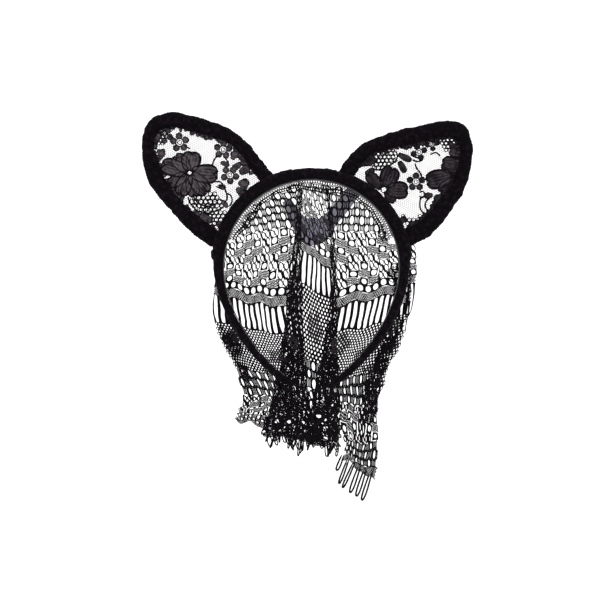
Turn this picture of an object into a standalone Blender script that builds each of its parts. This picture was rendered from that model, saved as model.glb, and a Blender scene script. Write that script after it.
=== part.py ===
"""Animal ears headband: a padded hoop with two lace ears and a hanging lace veil.

Frame: +X is to the right, +Y is away from the viewer, +Z is up. The origin is the
middle of the crown's inner face, which rests on the head. Sizes are in metres.
The hoop lies in the XZ plane; the veil hangs behind it, on the +Y side.
"""
import math

import bmesh
import bpy
import numpy as np
from mathutils import Matrix, Vector

MM = 0.001
GAP = 0.3 * MM

# Hoop: an upper arc over the head, then a flatter arc down each arm.
CROWN_RADIUS = 62.2 * MM
ARM_RADIUS = 118.0 * MM
ARM_ARC_START = 108.0
TIP_ANGLE = 143.0
SPLIT_ANGLE = 86.0
CROWN_STEPS = 21
ARM_STEPS = 9
SECTION_POINTS = 12
CROWN_THICKNESS = 8.5 * MM
NECK_THICKNESS = 7.2 * MM
TIP_THICKNESS = 5.2 * MM
CROWN_HALF_WIDTH = 6.0 * MM
TIP_HALF_WIDTH = 4.2 * MM
THICK_UNTIL = 80.0
THIN_FROM = 92.0

# Layers of the hoop, as heights above the inner face.
LINING_THICKNESS = 0.5 * MM
COVER_THICKNESS = 0.5 * MM
CORE_LOW = 2.4 * MM
CORE_HIGH = 3.6 * MM
CORE_MARGIN = 2.2 * MM
LINING_MARGIN = 2.0 * MM
TIP_CAP_LENGTH = 6.0 * MM

# The arms bend outward about these points, just below the ears.
PIVOT_HEIGHT = 4.0 * MM
FLEX_WEDGE = math.tan(math.radians(27.0))

# Ears: centreline x and z with the rim's half width, from upper foot to lower foot.
LEFT_EAR = ((-29.0, -2.0, 5.5), (-39.4, 10.6, 5.2), (-48.6, 23.4, 4.0), (-58.2, 31.2, 4.5),
            (-73.5, 36.9, 5.6), (-87.3, 40.5, 5.7), (-101.0, 42.6, 5.7), (-111.6, 38.6, 4.9),
            (-116.1, 26.6, 4.2), (-113.2, 8.5, 5.7), (-106.5, -5.7, 5.4), (-97.6, -16.3, 5.1),
            (-87.3, -27.0, 5.7), (-77.5, -36.0, 6.2), (-66.0, -42.5, 6.4))
RIGHT_EAR = ((22.0, 0.0, 5.5), (31.6, 14.2, 5.4), (39.1, 21.7, 4.8), (50.8, 26.2, 5.1),
             (64.3, 30.0, 5.9), (78.1, 32.9, 5.8), (92.0, 36.0, 5.9), (104.4, 34.8, 5.9),
             (109.4, 24.6, 4.8), (109.4, 15.0, 4.7), (107.2, 4.6, 4.9), (103.0, -6.7, 5.3),
             (96.6, -15.8, 5.8), (89.2, -25.4, 6.0), (79.5, -34.6, 6.4), (66.0, -41.5, 6.4))
EAR_FEET = {"left": (20.0, 79.0), "right": (16.0, 78.5)}
EAR_STATIONS = 26
RIM_POINTS = 10
RIM_HALF_DEPTH = 3.5 * MM
FOOT_HALF_DEPTH = 2.4 * MM
FOOT_TAPER = 0.12
EAR_CLEARANCE = 0.9 * MM
WIRE_RADIUS = 0.8 * MM
WIRE_BORE = 1.25 * MM
EAR_LACE_THICKNESS = 0.8 * MM

# Fabric wraps that bind each ear's feet to the hoop, as angles along the crown.
WRAPS = {"left_upper_wrap": (-18.2, -11.5), "left_lower_wrap": (-84.6, -80.4),
         "right_upper_wrap": (7.5, 14.2), "right_lower_wrap": (80.4, 84.6)}
WRAP_THICKNESS = 0.8 * MM
WRAP_GAP = 0.45 * MM
WRAP_START = 40.0
WRAP_END = 205.0

# Veil: header tape behind the crown, yoke down to the lifting line, then the drop.
HEADER_INNER = 63.4 * MM
HEADER_OUTER = 68.6 * MM
HEADER_DEPTH = (6.4 * MM, 7.2 * MM)
HEADER_ANGLE = 74.0
VEIL_FRONT = 7.7 * MM
VEIL_THICKNESS = 0.8 * MM
PLEAT_DEPTH = 2.0 * MM
YOKE_RADIUS = 66.5 * MM
YOKE_HALF_WIDTH = 65.0 * MM
LIFT_HEIGHT = -52.0 * MM
YOKE_EDGE = 1.3 * MM
DROP_EDGE = 0.5 * MM
PLEAT_RAMP = 6.0 * MM
VEIL_COLUMNS = (0.0, 0.1, 0.2, 0.3, 0.38, 0.41, 0.47, 0.5, 0.56, 0.62, 0.632, 0.648, 0.66, 0.74,
                0.82, 0.91, 1.0)
PLEAT_COLUMNS = (0.38, 0.5, 0.62, 0.66)
VEIL_ROWS = 12
# Rows of the veil: height, then x at the left edge, the two pleats' edges, the right edge.
VEIL_LINES = ((-5.0, -66.0, -9.6, -8.2, 8.4, 9.4, 66.0),
              (-52.0, -69.0, -17.0, -8.2, 14.8, 16.7, 73.0),
              (-92.0, -69.0, -21.0, -7.0, 13.4, 18.1, 69.9),
              (-120.7, -59.3, -23.4, -5.0, 8.8, 18.8, 56.4),
              (-149.0, -51.5, -24.0, -1.5, 2.5, 19.0, 46.6),
              (-186.0, -47.0, -24.0, -1.0, 1.0, 19.5, 46.0),
              (-212.0, -44.0, -24.0, -1.0, 1.0, 20.5, 43.0))
# Lower edge of the veil, from left to right.
VEIL_HEM = ((-55.0, -168.0), (-45.8, -175.8), (-31.0, -183.5), (0.0, -185.5), (19.5, -186.5),
            (22.5, -198.0), (43.0, -211.0))
CENTRE_FRINGE = ((-31.0, -184.2), (-12.0, -185.0), (0.0, -185.9), (19.2, -187.0), (18.6, -191.6),
                 (10.0, -193.0), (-4.0, -195.0), (-17.0, -192.4), (-31.0, -190.6))
RIGHT_FRINGE = ((22.6, -198.6), (33.0, -205.2), (42.6, -211.6), (39.0, -229.6), (29.5, -223.7),
                (22.4, -220.8), (18.8, -209.5))
FRINGE_THICKNESS = 0.6 * MM

# Sheer ribbon swag tacked behind the crown: centreline x and z.
RIBBON_LINE = ((30.0, -5.5), (21.0, -17.0), (13.0, -27.0), (4.0, -33.0), (-4.0, -30.0),
               (-11.0, -21.0), (-18.0, -10.0), (-23.0, -3.5))
RIBBON_HALF_WIDTH = 4.8 * MM
RIBBON_DEPTH = (11.2 * MM, 11.9 * MM)
RIBBON_STATIONS = 15

TACK_ANGLES = {"left": -58.0, "centre": 2.0, "right": 58.0}
TACK_RADIUS = 1.1 * MM
TACK_DISTANCE = 65.2 * MM


def clear_scene():
    """Remove every object so that the model starts from nothing."""
    for item in list(bpy.data.objects):
        bpy.data.objects.remove(item, do_unlink=True)


def make_material(name, colour, roughness, metallic=0.0):
    """Return a Principled material with one colour, roughness and metallic value."""
    material = bpy.data.materials.new(name)
    material.use_nodes = True
    shader = material.node_tree.nodes["Principled BSDF"]
    shader.inputs["Base Color"].default_value = (*colour, 1.0)
    shader.inputs["Roughness"].default_value = roughness
    shader.inputs["Metallic"].default_value = metallic
    return material


def make_materials():
    """Build every material of the headband by name."""
    return {
        "cover": make_material("cover", (0.010, 0.008, 0.010), 0.85),
        "core": make_material("core", (0.020, 0.020, 0.022), 0.45),
        "padding": make_material("padding", (0.090, 0.090, 0.095), 0.95),
        "lining": make_material("lining", (0.016, 0.012, 0.016), 0.60),
        "rim": make_material("rim", (0.011, 0.009, 0.011), 0.90),
        "wire": make_material("wire", (0.560, 0.560, 0.570), 0.35, 1.0),
        "ear_lace": make_material("ear_lace", (0.040, 0.036, 0.040), 0.80),
        "wrap": make_material("wrap", (0.014, 0.011, 0.014), 0.80),
        "veil": make_material("veil", (0.024, 0.018, 0.024), 0.80),
        "ribbon": make_material("ribbon", (0.045, 0.022, 0.070), 0.45),
        "cap": make_material("cap", (0.012, 0.012, 0.013), 0.40),
        "thread": make_material("thread", (0.015, 0.012, 0.015), 0.70),
    }


def hoop_frame(angle):
    """Return a point of the hoop's inner face, its outward direction and its heading.

    The angle is in degrees from the top of the crown, positive to the right.
    The heading runs away from the crown's top, down the arm.
    """
    side = 1.0 if angle >= 0.0 else -1.0
    turn = math.radians(abs(angle))
    start = math.radians(ARM_ARC_START)
    outward = Vector((math.sin(turn), 0.0, math.cos(turn)))
    heading = Vector((math.cos(turn), 0.0, -math.sin(turn)))
    point = Vector((0.0, 0.0, -CROWN_RADIUS)) + outward * CROWN_RADIUS
    if turn > start:
        joint = Vector((math.sin(start), 0.0, math.cos(start)))
        centre = Vector((0.0, 0.0, -CROWN_RADIUS)) + joint * (CROWN_RADIUS - ARM_RADIUS)
        point = centre + outward * ARM_RADIUS
    flip = Vector((side, 1.0, 1.0))
    return point * flip, outward * flip, heading * flip


def thickness_at(angle):
    """Radial thickness of the whole hoop at an angle."""
    stops = (THICK_UNTIL, THIN_FROM, TIP_ANGLE)
    sizes = (CROWN_THICKNESS, NECK_THICKNESS, TIP_THICKNESS)
    return float(np.interp(abs(angle), stops, sizes))


def half_width_at(angle):
    """Half of the hoop's width across, at an angle."""
    return float(np.interp(abs(angle), (THICK_UNTIL, TIP_ANGLE), (CROWN_HALF_WIDTH, TIP_HALF_WIDTH)))


def oval_section(half_width, low, high, power_low=4.0, power_high=2.3, count=SECTION_POINTS):
    """Closed section of (height, y) points: a flat-bottomed oval between two heights."""
    middle = (low + high) / 2.0
    reach = (high - low) / 2.0
    section = []
    for step in range(count):
        turn = 2.0 * math.pi * (step + 0.5) / count
        across, up = math.cos(turn), math.sin(turn)
        power = power_high if up > 0.0 else power_low
        y = half_width * math.copysign(abs(across) ** (2.0 / power), across)
        height = middle + reach * math.copysign(abs(up) ** (2.0 / power), up)
        section.append((height, y))
    return section


def hoop_ring(angle, section, wedge=False):
    """Place a section across the hoop; a wedge slopes the end away from the flex line."""
    point, outward, heading = hoop_frame(angle)
    ring = []
    for height, y in section:
        slide = GAP + max(0.0, height - PIVOT_HEIGHT) * FLEX_WEDGE if wedge else 0.0
        place = point + outward * height + heading * slide
        ring.append((place.x, y, place.z))
    return ring


def loft(rings, holes=None):
    """Skin a row of rings, closed by flat ends or, with a bore, by flat collars."""
    count = len(rings[0])
    points = [point for ring in rings for point in ring]
    faces = []
    last = (len(rings) - 1) * count

    def skin(start, rows):
        for row in range(rows - 1):
            for step in range(count):
                near = start + row * count
                after = (step + 1) % count
                faces.append((near + step, near + after, near + count + after, near + count + step))

    skin(0, len(rings))
    if holes is None:
        faces.append(tuple(range(count)))
        faces.append(tuple(last + step for step in range(count)))
        return points, faces
    bore = len(points)
    points += [point for ring in holes for point in ring]
    skin(bore, len(holes))
    for row in (0, last):
        for step in range(count):
            after = (step + 1) % count
            faces.append((row + step, row + after, bore + row + after, bore + row + step))
    return points, faces


def add_piece(name, shape, material, smooth=True, origin=None):
    """Make one closed object from points and faces, with its origin where asked."""
    points, faces = shape
    work = bmesh.new()
    made = [work.verts.new(point) for point in points]
    for face in faces:
        work.faces.new([made[index] for index in face])
    bmesh.ops.remove_doubles(work, verts=work.verts, dist=1e-6)
    bmesh.ops.recalc_face_normals(work, faces=work.faces)
    mesh = bpy.data.meshes.new(name)
    work.to_mesh(mesh)
    work.free()
    if smooth:
        mesh.shade_smooth()
        mesh.set_sharp_from_angle(angle=math.radians(40.0))
    mesh.materials.append(material)
    piece = bpy.data.objects.new(name, mesh)
    bpy.context.collection.objects.link(piece)
    if origin is not None:
        mesh.transform(Matrix.Translation(-Vector(origin)))
        piece.location = origin
    return piece


def cut_with(piece, cutter):
    """Take the cutter's volume away from a piece."""
    modifier = piece.modifiers.new("cut", "BOOLEAN")
    modifier.operation = "DIFFERENCE"
    modifier.solver = "EXACT"
    modifier.object = cutter


def angle_steps(first, last, steps):
    """Evenly spaced angles from first to last, both included."""
    return [first + (last - first) * step / steps for step in range(steps + 1)]


def band_layers(prefix, angles, materials, wedge=False, origin=None):
    """Cover, padding, core and lining of one stretch of the hoop."""
    rings = {"cover": [], "cover_bore": [], "padding": [], "padding_bore": [], "core": [], "lining": []}
    for place, angle in enumerate(angles):
        top = thickness_at(angle)
        half = half_width_at(angle)
        slope = wedge and place == 0
        base = LINING_THICKNESS + GAP
        inside = base + COVER_THICKNESS
        pad = inside + GAP
        core_half = half - CORE_MARGIN
        sections = {
            "cover": oval_section(half, base, top),
            "cover_bore": oval_section(half - COVER_THICKNESS, inside, top - COVER_THICKNESS),
            "padding": oval_section(half - COVER_THICKNESS - GAP, pad, top - COVER_THICKNESS - GAP),
            "padding_bore": oval_section(core_half + GAP, CORE_LOW - GAP, CORE_HIGH + GAP, 8.0, 8.0),
            "core": oval_section(core_half - 0.1 * MM, CORE_LOW, CORE_HIGH, 8.0, 8.0, 8),
            "lining": [(0.0, LINING_MARGIN - half), (0.0, half - LINING_MARGIN),
                       (LINING_THICKNESS, half - LINING_MARGIN), (LINING_THICKNESS, LINING_MARGIN - half)],
        }
        for layer, section in sections.items():
            rings[layer].append(hoop_ring(angle, section, slope))
    cover = loft(rings["cover"], rings["cover_bore"])
    padding = loft(rings["padding"], rings["padding_bore"])
    add_piece(prefix + "_cover", cover, materials["cover"], origin=origin)
    add_piece(prefix + "_padding", padding, materials["padding"], origin=origin)
    add_piece(prefix + "_core", loft(rings["core"]), materials["core"], origin=origin)
    add_piece(prefix + "_lining", loft(rings["lining"]), materials["lining"], smooth=False, origin=origin)


def flex_pivot(side):
    """Point of the flex line of one arm, on the hoop's mid thickness."""
    point, outward, _ = hoop_frame(side * SPLIT_ANGLE)
    return point + outward * PIVOT_HEIGHT


def tip_cap(name, side, materials, origin):
    """Rounded end of one arm, a dome that starts just past the cover's end."""
    angle = side * TIP_ANGLE
    point, outward, heading = hoop_frame(angle)
    top, half = thickness_at(angle), half_width_at(angle)
    middle = (top + LINING_THICKNESS + GAP) / 2.0
    rings = []
    for step in range(6):
        reach = math.sin(math.radians(82.0) * step / 5)
        shrink = math.cos(math.radians(82.0) * step / 5)
        ring = []
        for height, y in oval_section(half, LINING_THICKNESS + GAP, top):
            lift = middle + (height - middle) * shrink
            place = point + outward * lift + heading * (GAP + reach * TIP_CAP_LENGTH)
            ring.append((place.x, y * shrink, place.z))
        rings.append(ring)
    add_piece(name, loft(rings), materials["cap"], origin=origin)


def smooth_curve(points, count):
    """Sample a Catmull-Rom curve through rows of numbers at even steps of its parameter."""
    knots = np.array(points, dtype=float)
    padded = np.vstack([2 * knots[0] - knots[1], knots, 2 * knots[-1] - knots[-2]])
    where = np.linspace(0.0, len(knots) - 1.0, count)
    span = np.minimum(where.astype(int), len(knots) - 2)
    t = (where - span)[:, None]
    a, b, c, d = (padded[span + shift] for shift in range(4))
    return 0.5 * (2 * b + (c - a) * t + (2 * a - 5 * b + 4 * c - d) * t ** 2
                  + (3 * b - a - 3 * c + d) * t ** 3)


def ear_stations(knots):
    """Centre, in-plane normal and half width along an ear's rim."""
    rows = smooth_curve(knots, EAR_STATIONS) * MM
    heading = np.gradient(rows[:, :2], axis=0)
    heading /= np.linalg.norm(heading, axis=1)[:, None]
    normal = np.column_stack([-heading[:, 1], heading[:, 0]])
    return rows[:, :2], normal, rows[:, 2]


def foot_depth(share):
    """Half depth of the rim along its length, thinner where the feet meet the hoop."""
    stops = (0.0, FOOT_TAPER, 2 * FOOT_TAPER, 1 - 2 * FOOT_TAPER, 1 - FOOT_TAPER, 1.0)
    sizes = (FOOT_HALF_DEPTH, FOOT_HALF_DEPTH, RIM_HALF_DEPTH, RIM_HALF_DEPTH, FOOT_HALF_DEPTH,
             FOOT_HALF_DEPTH)
    return float(np.interp(share, stops, sizes))


def rim_rings(knots, round_radius=None, count=RIM_POINTS):
    """Rings along the rim: ovals of the rim's own size, or circles of one radius."""
    centre, normal, half = ear_stations(knots)
    rings = []
    for index in range(len(centre)):
        wide = half[index] if round_radius is None else round_radius
        deep = foot_depth(index / (len(centre) - 1)) if round_radius is None else round_radius
        ring = []
        for step in range(count):
            turn = 2.0 * math.pi * step / count
            spot = centre[index] + normal[index] * wide * math.cos(turn)
            ring.append((spot[0], deep * math.sin(turn), spot[1]))
        rings.append(ring)
    return rings


def ear_axis(side):
    """The two ends of the line about which an ear tilts, at its feet."""
    sign = -1.0 if side == "left" else 1.0
    ends = []
    for angle in EAR_FEET[side]:
        point, outward, _ = hoop_frame(sign * angle)
        ends.append(point + outward * (thickness_at(angle) + EAR_CLEARANCE))
    return ends


def hoop_cutter(name, extra):
    """Disc that stands clear of the crown's outer face, used to trim the ears."""
    radius = CROWN_RADIUS + CROWN_THICKNESS + extra
    bpy.ops.mesh.primitive_cylinder_add(vertices=120, radius=radius, depth=40 * MM,
                                        location=(0.0, 0.0, -CROWN_RADIUS),
                                        rotation=(math.radians(90.0), 0.0, 0.0))
    cutter = bpy.context.active_object
    cutter.name = name
    cutter.hide_render = True
    cutter.display_type = "WIRE"
    return cutter


def plate(outline, front, back):
    """Flat closed plate: an XZ outline between two depths."""
    count = len(outline)
    points = [(x, front, z) for x, z in outline] + [(x, back, z) for x, z in outline]
    faces = [tuple(range(count)), tuple(range(count, 2 * count))]
    for step in range(count):
        after = (step + 1) % count
        faces.append((step, after, count + after, count + step))
    return points, faces


def build_ear(side, knots, cutter, materials):
    """Wire, padded rim and lace panel of one ear."""
    upper, lower = ear_axis(side)
    origin = (upper + lower) / 2.0
    inward = -1.0 if side == "left" else 1.0
    centre, normal, half = ear_stations(knots)
    toward = (half + GAP + 0.2 * MM)[:, None] * normal * -inward
    outline = [tuple(point) for point in (centre + toward)]
    rim_shape = loft(rim_rings(knots), rim_rings(knots, WIRE_BORE))
    wire_shape = loft(rim_rings(knots, WIRE_RADIUS, 6))
    depth = EAR_LACE_THICKNESS / 2.0
    pieces = [
        add_piece(side + "_ear_rim", rim_shape, materials["rim"], origin=origin),
        add_piece(side + "_ear_wire", wire_shape, materials["wire"], origin=origin),
        add_piece(side + "_ear_lace", plate(outline, -depth, depth), materials["ear_lace"],
                  smooth=False, origin=origin),
    ]
    for piece in pieces:
        cut_with(piece, cutter)


def saddle_section(half_width, low, high, thickness, count=9):
    """Open section over the outer face and the front, from behind the crown to the lining."""
    middle = (low + high) / 2.0
    section = []
    for extra, order in ((thickness, 1), (0.0, -1)):
        side = []
        for step in range(count):
            turn = math.radians(WRAP_START + (WRAP_END - WRAP_START) * step / (count - 1))
            across, up = math.cos(turn), math.sin(turn)
            reach = (high - low) / 2.0 + extra
            power = 2.3 if up > 0.0 else 4.0
            y = (half_width + extra) * math.copysign(abs(across) ** (2.0 / power), across)
            side.append((middle + reach * math.copysign(abs(up) ** (2.0 / power), up), y))
        section += side[::order]
    return section


def build_wraps(materials):
    """Saddles of lace bound over the hoop beside the ears' feet, tucked under the lining."""
    for name, (first, last) in WRAPS.items():
        rings = []
        for angle in angle_steps(first, last, 2):
            top, half = thickness_at(angle), half_width_at(angle)
            base = LINING_THICKNESS + GAP
            section = saddle_section(half + WRAP_GAP, base, top + WRAP_GAP, WRAP_THICKNESS)
            rings.append(hoop_ring(angle, section))
        add_piece(name, loft(rings), materials["wrap"])


def veil_point(column, height):
    """x of a veil column (0 at the left edge, 1 at the right edge) at a height."""
    heights = [row[0] * MM for row in VEIL_LINES]
    stops = (0.0,) + PLEAT_COLUMNS + (1.0,)
    places = []
    for index in range(len(stops)):
        line = [row[index + 1] * MM for row in VEIL_LINES]
        places.append(np.interp(-height, [-h for h in heights], line))
    return float(np.interp(column, stops, places))


def pleat_depth(column, height):
    """Extra depth at the back where the cloth is folded, faded out at the lifting line."""
    first, second = PLEAT_COLUMNS[:2], PLEAT_COLUMNS[2:]
    folded = first[0] < column < first[1] or second[0] < column < second[1]
    fade = min(1.0, abs(height - LIFT_HEIGHT) / PLEAT_RAMP)
    return PLEAT_DEPTH * fade if folded else 0.0


def cloth_solid(top_of, bottom_of, rows, columns):
    """Closed thick cloth between an upper and a lower edge, thicker at the pleats."""
    fronts, backs = [], []
    for row in range(rows + 1):
        share = row / rows
        for column in columns:
            top, bottom = top_of(column), bottom_of(column)
            height = top + (bottom - top) * share
            x = veil_point(column, height)
            fronts.append((x, VEIL_FRONT, height))
            backs.append((x, VEIL_FRONT + VEIL_THICKNESS + pleat_depth(column, height), height))
    wide = len(columns)
    offset = len(fronts)
    faces = []
    for row in range(rows):
        for step in range(wide - 1):
            corner = row * wide + step
            quad = (corner, corner + 1, corner + wide + 1, corner + wide)
            faces.append(quad)
            faces.append(tuple(offset + index for index in quad))
    edge = [step for step in range(wide)]
    edge += [row * wide + wide - 1 for row in range(1, rows + 1)]
    edge += [rows * wide + step for step in range(wide - 2, -1, -1)]
    edge += [row * wide for row in range(rows - 1, 0, -1)]
    for step, index in enumerate(edge):
        after = edge[(step + 1) % len(edge)]
        faces.append((index, after, offset + after, offset + index))
    return fronts + backs, faces


def hem_height(column):
    """Height of the veil's lower edge at a column."""
    xs = [x * MM for x, _ in VEIL_HEM]
    zs = [z * MM for _, z in VEIL_HEM]
    guess = -180.0 * MM
    for _ in range(4):
        guess = float(np.interp(veil_point(column, guess), xs, zs))
    return guess


def build_veil(materials):
    """Header tape, fixed yoke, swinging drop and the fringes of the lace veil."""
    angles = angle_steps(-HEADER_ANGLE, HEADER_ANGLE, 18)
    rings = []
    for angle in angles:
        _, outward, _ = hoop_frame(angle)
        ring = []
        for radius, y in ((HEADER_INNER, HEADER_DEPTH[0]), (HEADER_OUTER, HEADER_DEPTH[0]),
                          (HEADER_OUTER, HEADER_DEPTH[1]), (HEADER_INNER, HEADER_DEPTH[1])):
            ring.append((outward.x * radius, y, outward.z * radius - CROWN_RADIUS))
        rings.append(ring)
    add_piece("veil_header", loft(rings), materials["veil"], smooth=False)

    def yoke_top(column):
        x = (column - 0.5) * 2.0 * YOKE_HALF_WIDTH
        return math.sqrt(YOKE_RADIUS ** 2 - x ** 2) - CROWN_RADIUS

    yoke = cloth_solid(yoke_top, lambda column: LIFT_HEIGHT + YOKE_EDGE, 4, VEIL_COLUMNS)
    yoke = ([fit_to_arc(point) for point in yoke[0]], yoke[1])
    add_piece("veil_yoke", yoke, materials["veil"], smooth=False)

    hinge = (0.0, VEIL_FRONT + VEIL_THICKNESS / 2.0, LIFT_HEIGHT)
    drop = cloth_solid(lambda column: LIFT_HEIGHT - DROP_EDGE, hem_height, VEIL_ROWS, VEIL_COLUMNS)
    add_piece("veil_drop", drop, materials["veil"], smooth=False, origin=hinge)
    for name, outline in (("centre_fringe", CENTRE_FRINGE), ("right_fringe", RIGHT_FRINGE)):
        places = [(x * MM, (z - 0.3) * MM) for x, z in outline]
        shape = plate(places, VEIL_FRONT, VEIL_FRONT + FRINGE_THICKNESS)
        add_piece(name, shape, materials["veil"], smooth=False, origin=hinge)


def fit_to_arc(point):
    """Keep a yoke point inside the arc where the veil is sewn to the crown."""
    x, y, z = point
    reach = math.sqrt(max(0.0, YOKE_RADIUS ** 2 - (z + CROWN_RADIUS) ** 2))
    return (max(-reach, min(reach, x)), y, z)


def build_ribbon(materials):
    """Flat sheer ribbon that hangs in a shallow loop behind the veil's top."""
    centre = smooth_curve(RIBBON_LINE, RIBBON_STATIONS) * MM
    heading = np.gradient(centre, axis=0)
    heading /= np.linalg.norm(heading, axis=1)[:, None]
    normal = np.column_stack([-heading[:, 1], heading[:, 0]])
    front, back = RIBBON_DEPTH
    rings = []
    for spot, side in zip(centre, normal):
        left = spot + side * RIBBON_HALF_WIDTH
        right = spot - side * RIBBON_HALF_WIDTH
        rings.append([(left[0], front, left[1]), (right[0], front, right[1]),
                      (right[0], back, right[1]), (left[0], back, left[1])])
    add_piece("inner_ribbon", loft(rings), materials["ribbon"], smooth=False)


def build_tacks(materials):
    """Thread knots that hold the veil's top edge to the header tape."""
    depth = VEIL_FRONT + VEIL_THICKNESS + GAP + TACK_RADIUS
    for side, angle in TACK_ANGLES.items():
        _, outward, _ = hoop_frame(angle)
        work = bmesh.new()
        bmesh.ops.create_uvsphere(work, u_segments=8, v_segments=6, radius=TACK_RADIUS)
        mesh = bpy.data.meshes.new("thread_tack_" + side)
        work.to_mesh(mesh)
        work.free()
        mesh.shade_smooth()
        mesh.materials.append(materials["thread"])
        tack = bpy.data.objects.new("thread_tack_" + side, mesh)
        tack.location = (outward.x * TACK_DISTANCE, depth, outward.z * TACK_DISTANCE - CROWN_RADIUS)
        bpy.context.collection.objects.link(tack)


def build_headband():
    """Model every sub-part of the headband."""
    clear_scene()
    materials = make_materials()
    band_layers("crown", angle_steps(-SPLIT_ANGLE, SPLIT_ANGLE, CROWN_STEPS), materials)
    for name, side in (("left", -1.0), ("right", 1.0)):
        pivot = flex_pivot(side)
        angles = angle_steps(side * SPLIT_ANGLE, side * TIP_ANGLE, ARM_STEPS)
        band_layers(name + "_arm", angles, materials, wedge=True, origin=pivot)
        tip_cap(name + "_tip_cap", side, materials, pivot)
    cutter = hoop_cutter("ear_trim_disc", EAR_CLEARANCE)
    build_ear("left", LEFT_EAR, cutter, materials)
    build_ear("right", RIGHT_EAR, cutter, materials)
    build_wraps(materials)
    build_veil(materials)
    build_ribbon(materials)
    build_tacks(materials)


build_headband()
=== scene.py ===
"""Looks of the animal ears headband: fabric-wound hoop and ears, ear lace and a lace veil.

Frame: +X right, +Y away from the viewer, +Z up, metres. The hoop's middle is at x = 0 and
its inner face touches z = 0 at the top of the crown.
"""
import math

import bpy
import numpy as np
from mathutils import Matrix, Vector


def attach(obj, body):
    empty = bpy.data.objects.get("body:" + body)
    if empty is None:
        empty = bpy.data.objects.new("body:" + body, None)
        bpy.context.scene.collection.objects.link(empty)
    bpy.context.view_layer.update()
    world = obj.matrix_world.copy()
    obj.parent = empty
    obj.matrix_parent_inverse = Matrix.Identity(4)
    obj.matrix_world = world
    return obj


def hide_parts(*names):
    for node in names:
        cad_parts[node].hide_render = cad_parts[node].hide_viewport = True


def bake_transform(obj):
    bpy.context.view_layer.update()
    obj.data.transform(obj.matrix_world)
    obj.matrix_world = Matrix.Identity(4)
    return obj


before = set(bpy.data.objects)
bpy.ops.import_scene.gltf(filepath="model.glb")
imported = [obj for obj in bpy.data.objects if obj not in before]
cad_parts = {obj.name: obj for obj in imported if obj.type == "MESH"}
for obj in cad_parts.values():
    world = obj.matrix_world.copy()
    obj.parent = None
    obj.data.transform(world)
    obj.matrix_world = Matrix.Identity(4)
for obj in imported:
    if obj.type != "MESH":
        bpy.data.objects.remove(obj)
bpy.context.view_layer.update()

MM = 0.001
Y_AXIS = np.array((0.0, 1.0, 0.0))
SIGNS = {"left": -1.0, "right": 1.0}

# Hoop: an upper arc over the head, then a flatter arc down each arm.
CROWN_RADIUS = 62.2 * MM
ARM_RADIUS = 118.0 * MM
ARM_ARC_START = 108.0
TIP_ANGLE = 143.0
HOOP_BASE = 0.8 * MM
EAR_BASE_ROLL = 1.1 * MM
LINING_THICKNESS = 0.5 * MM
TIP_LENGTH = 6.0 * MM
RIB_PITCH = 0.8 * MM
HOOP_SIDES = 44
RIDGES_PER_RADIAN = 62.2 / 2.2 * 1.4
CENTRE = np.array((0.0, 0.0, -CROWN_RADIUS))

# Ears: centreline x and z with the rim's half width, from upper foot to lower foot, in mm.
LEFT_EAR = ((-29.0, -2.0, 5.5), (-39.4, 10.6, 5.2), (-48.6, 23.4, 4.2), (-58.2, 31.2, 4.6),
            (-73.5, 36.9, 5.6), (-87.3, 40.5, 5.7), (-101.0, 42.6, 5.7), (-111.6, 38.6, 4.9),
            (-116.1, 26.6, 4.2), (-113.2, 8.5, 5.7), (-106.5, -5.7, 5.4), (-97.6, -16.3, 5.1),
            (-87.3, -27.0, 5.7), (-77.5, -36.0, 6.2), (-66.0, -42.5, 6.4))
RIGHT_EAR = ((22.0, 0.0, 5.5), (31.6, 14.2, 5.4), (39.1, 21.7, 4.8), (50.8, 26.2, 5.1),
             (64.3, 30.0, 5.9), (78.1, 32.9, 5.8), (92.0, 36.0, 5.9), (104.4, 34.8, 5.9),
             (109.4, 24.6, 4.8), (109.4, 15.0, 4.7), (107.2, 4.6, 4.9), (103.0, -6.7, 5.3),
             (96.6, -15.8, 5.8), (89.2, -25.4, 6.0), (79.5, -34.6, 6.4), (66.0, -41.5, 6.4))
EARS = {"left": LEFT_EAR, "right": RIGHT_EAR}
RIM_HALF_DEPTH = 3.5 * MM
RIM_SIDES = 40
FOOT_HALF_DEPTH = 2.6 * MM
WIRE_RADIUS = 0.8 * MM
# How far from the hoop's middle the bent wires and the ear lace begin.
WIRE_START = 69.5 * MM
LACE_START = 69.0 * MM
# Fine net under the ear lace, in mm, and its turn in radians.
NET_PITCH = 1.6
NET_THREAD = 0.165
NET_TURN = 0.45

# Fabric strips that bind each ear's feet to the hoop, as angles along the crown.
WRAPS = {"left_upper_wrap": (-18.6, -11.0), "left_lower_wrap": (-85.6, -79.8),
         "right_upper_wrap": (7.0, 14.6), "right_lower_wrap": (79.8, 85.6)}

# Veil: its flat width and drop.
VEIL_WIDTH = 192.0
VEIL_DROP = 205.0
# One oval's pitch across and one row's height, and the step of the drape's grid.
PITCH = VEIL_WIDTH / 31.0
ROW = 5.4
GRID_STEP = 0.5
VEIL_SPLITS = {"veil_left_panel": (0.0, 69.0), "veil_centre_panel": (69.0, 131.0),
               "veil_fold_panel": (131.0, 155.0), "veil_right_panel": (155.0, 192.0)}
# Folded edges: first and last place across, top and foot down the flat cloth, and the
# panel in front of it.
SIDE_LAYERS = {"veil_right_fold": (178.0, 192.0, 56.0, 158.0, "veil_right_panel"),
               "veil_left_fold": (0.0, 11.0, 104.0, 146.0, "veil_left_panel")}
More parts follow.
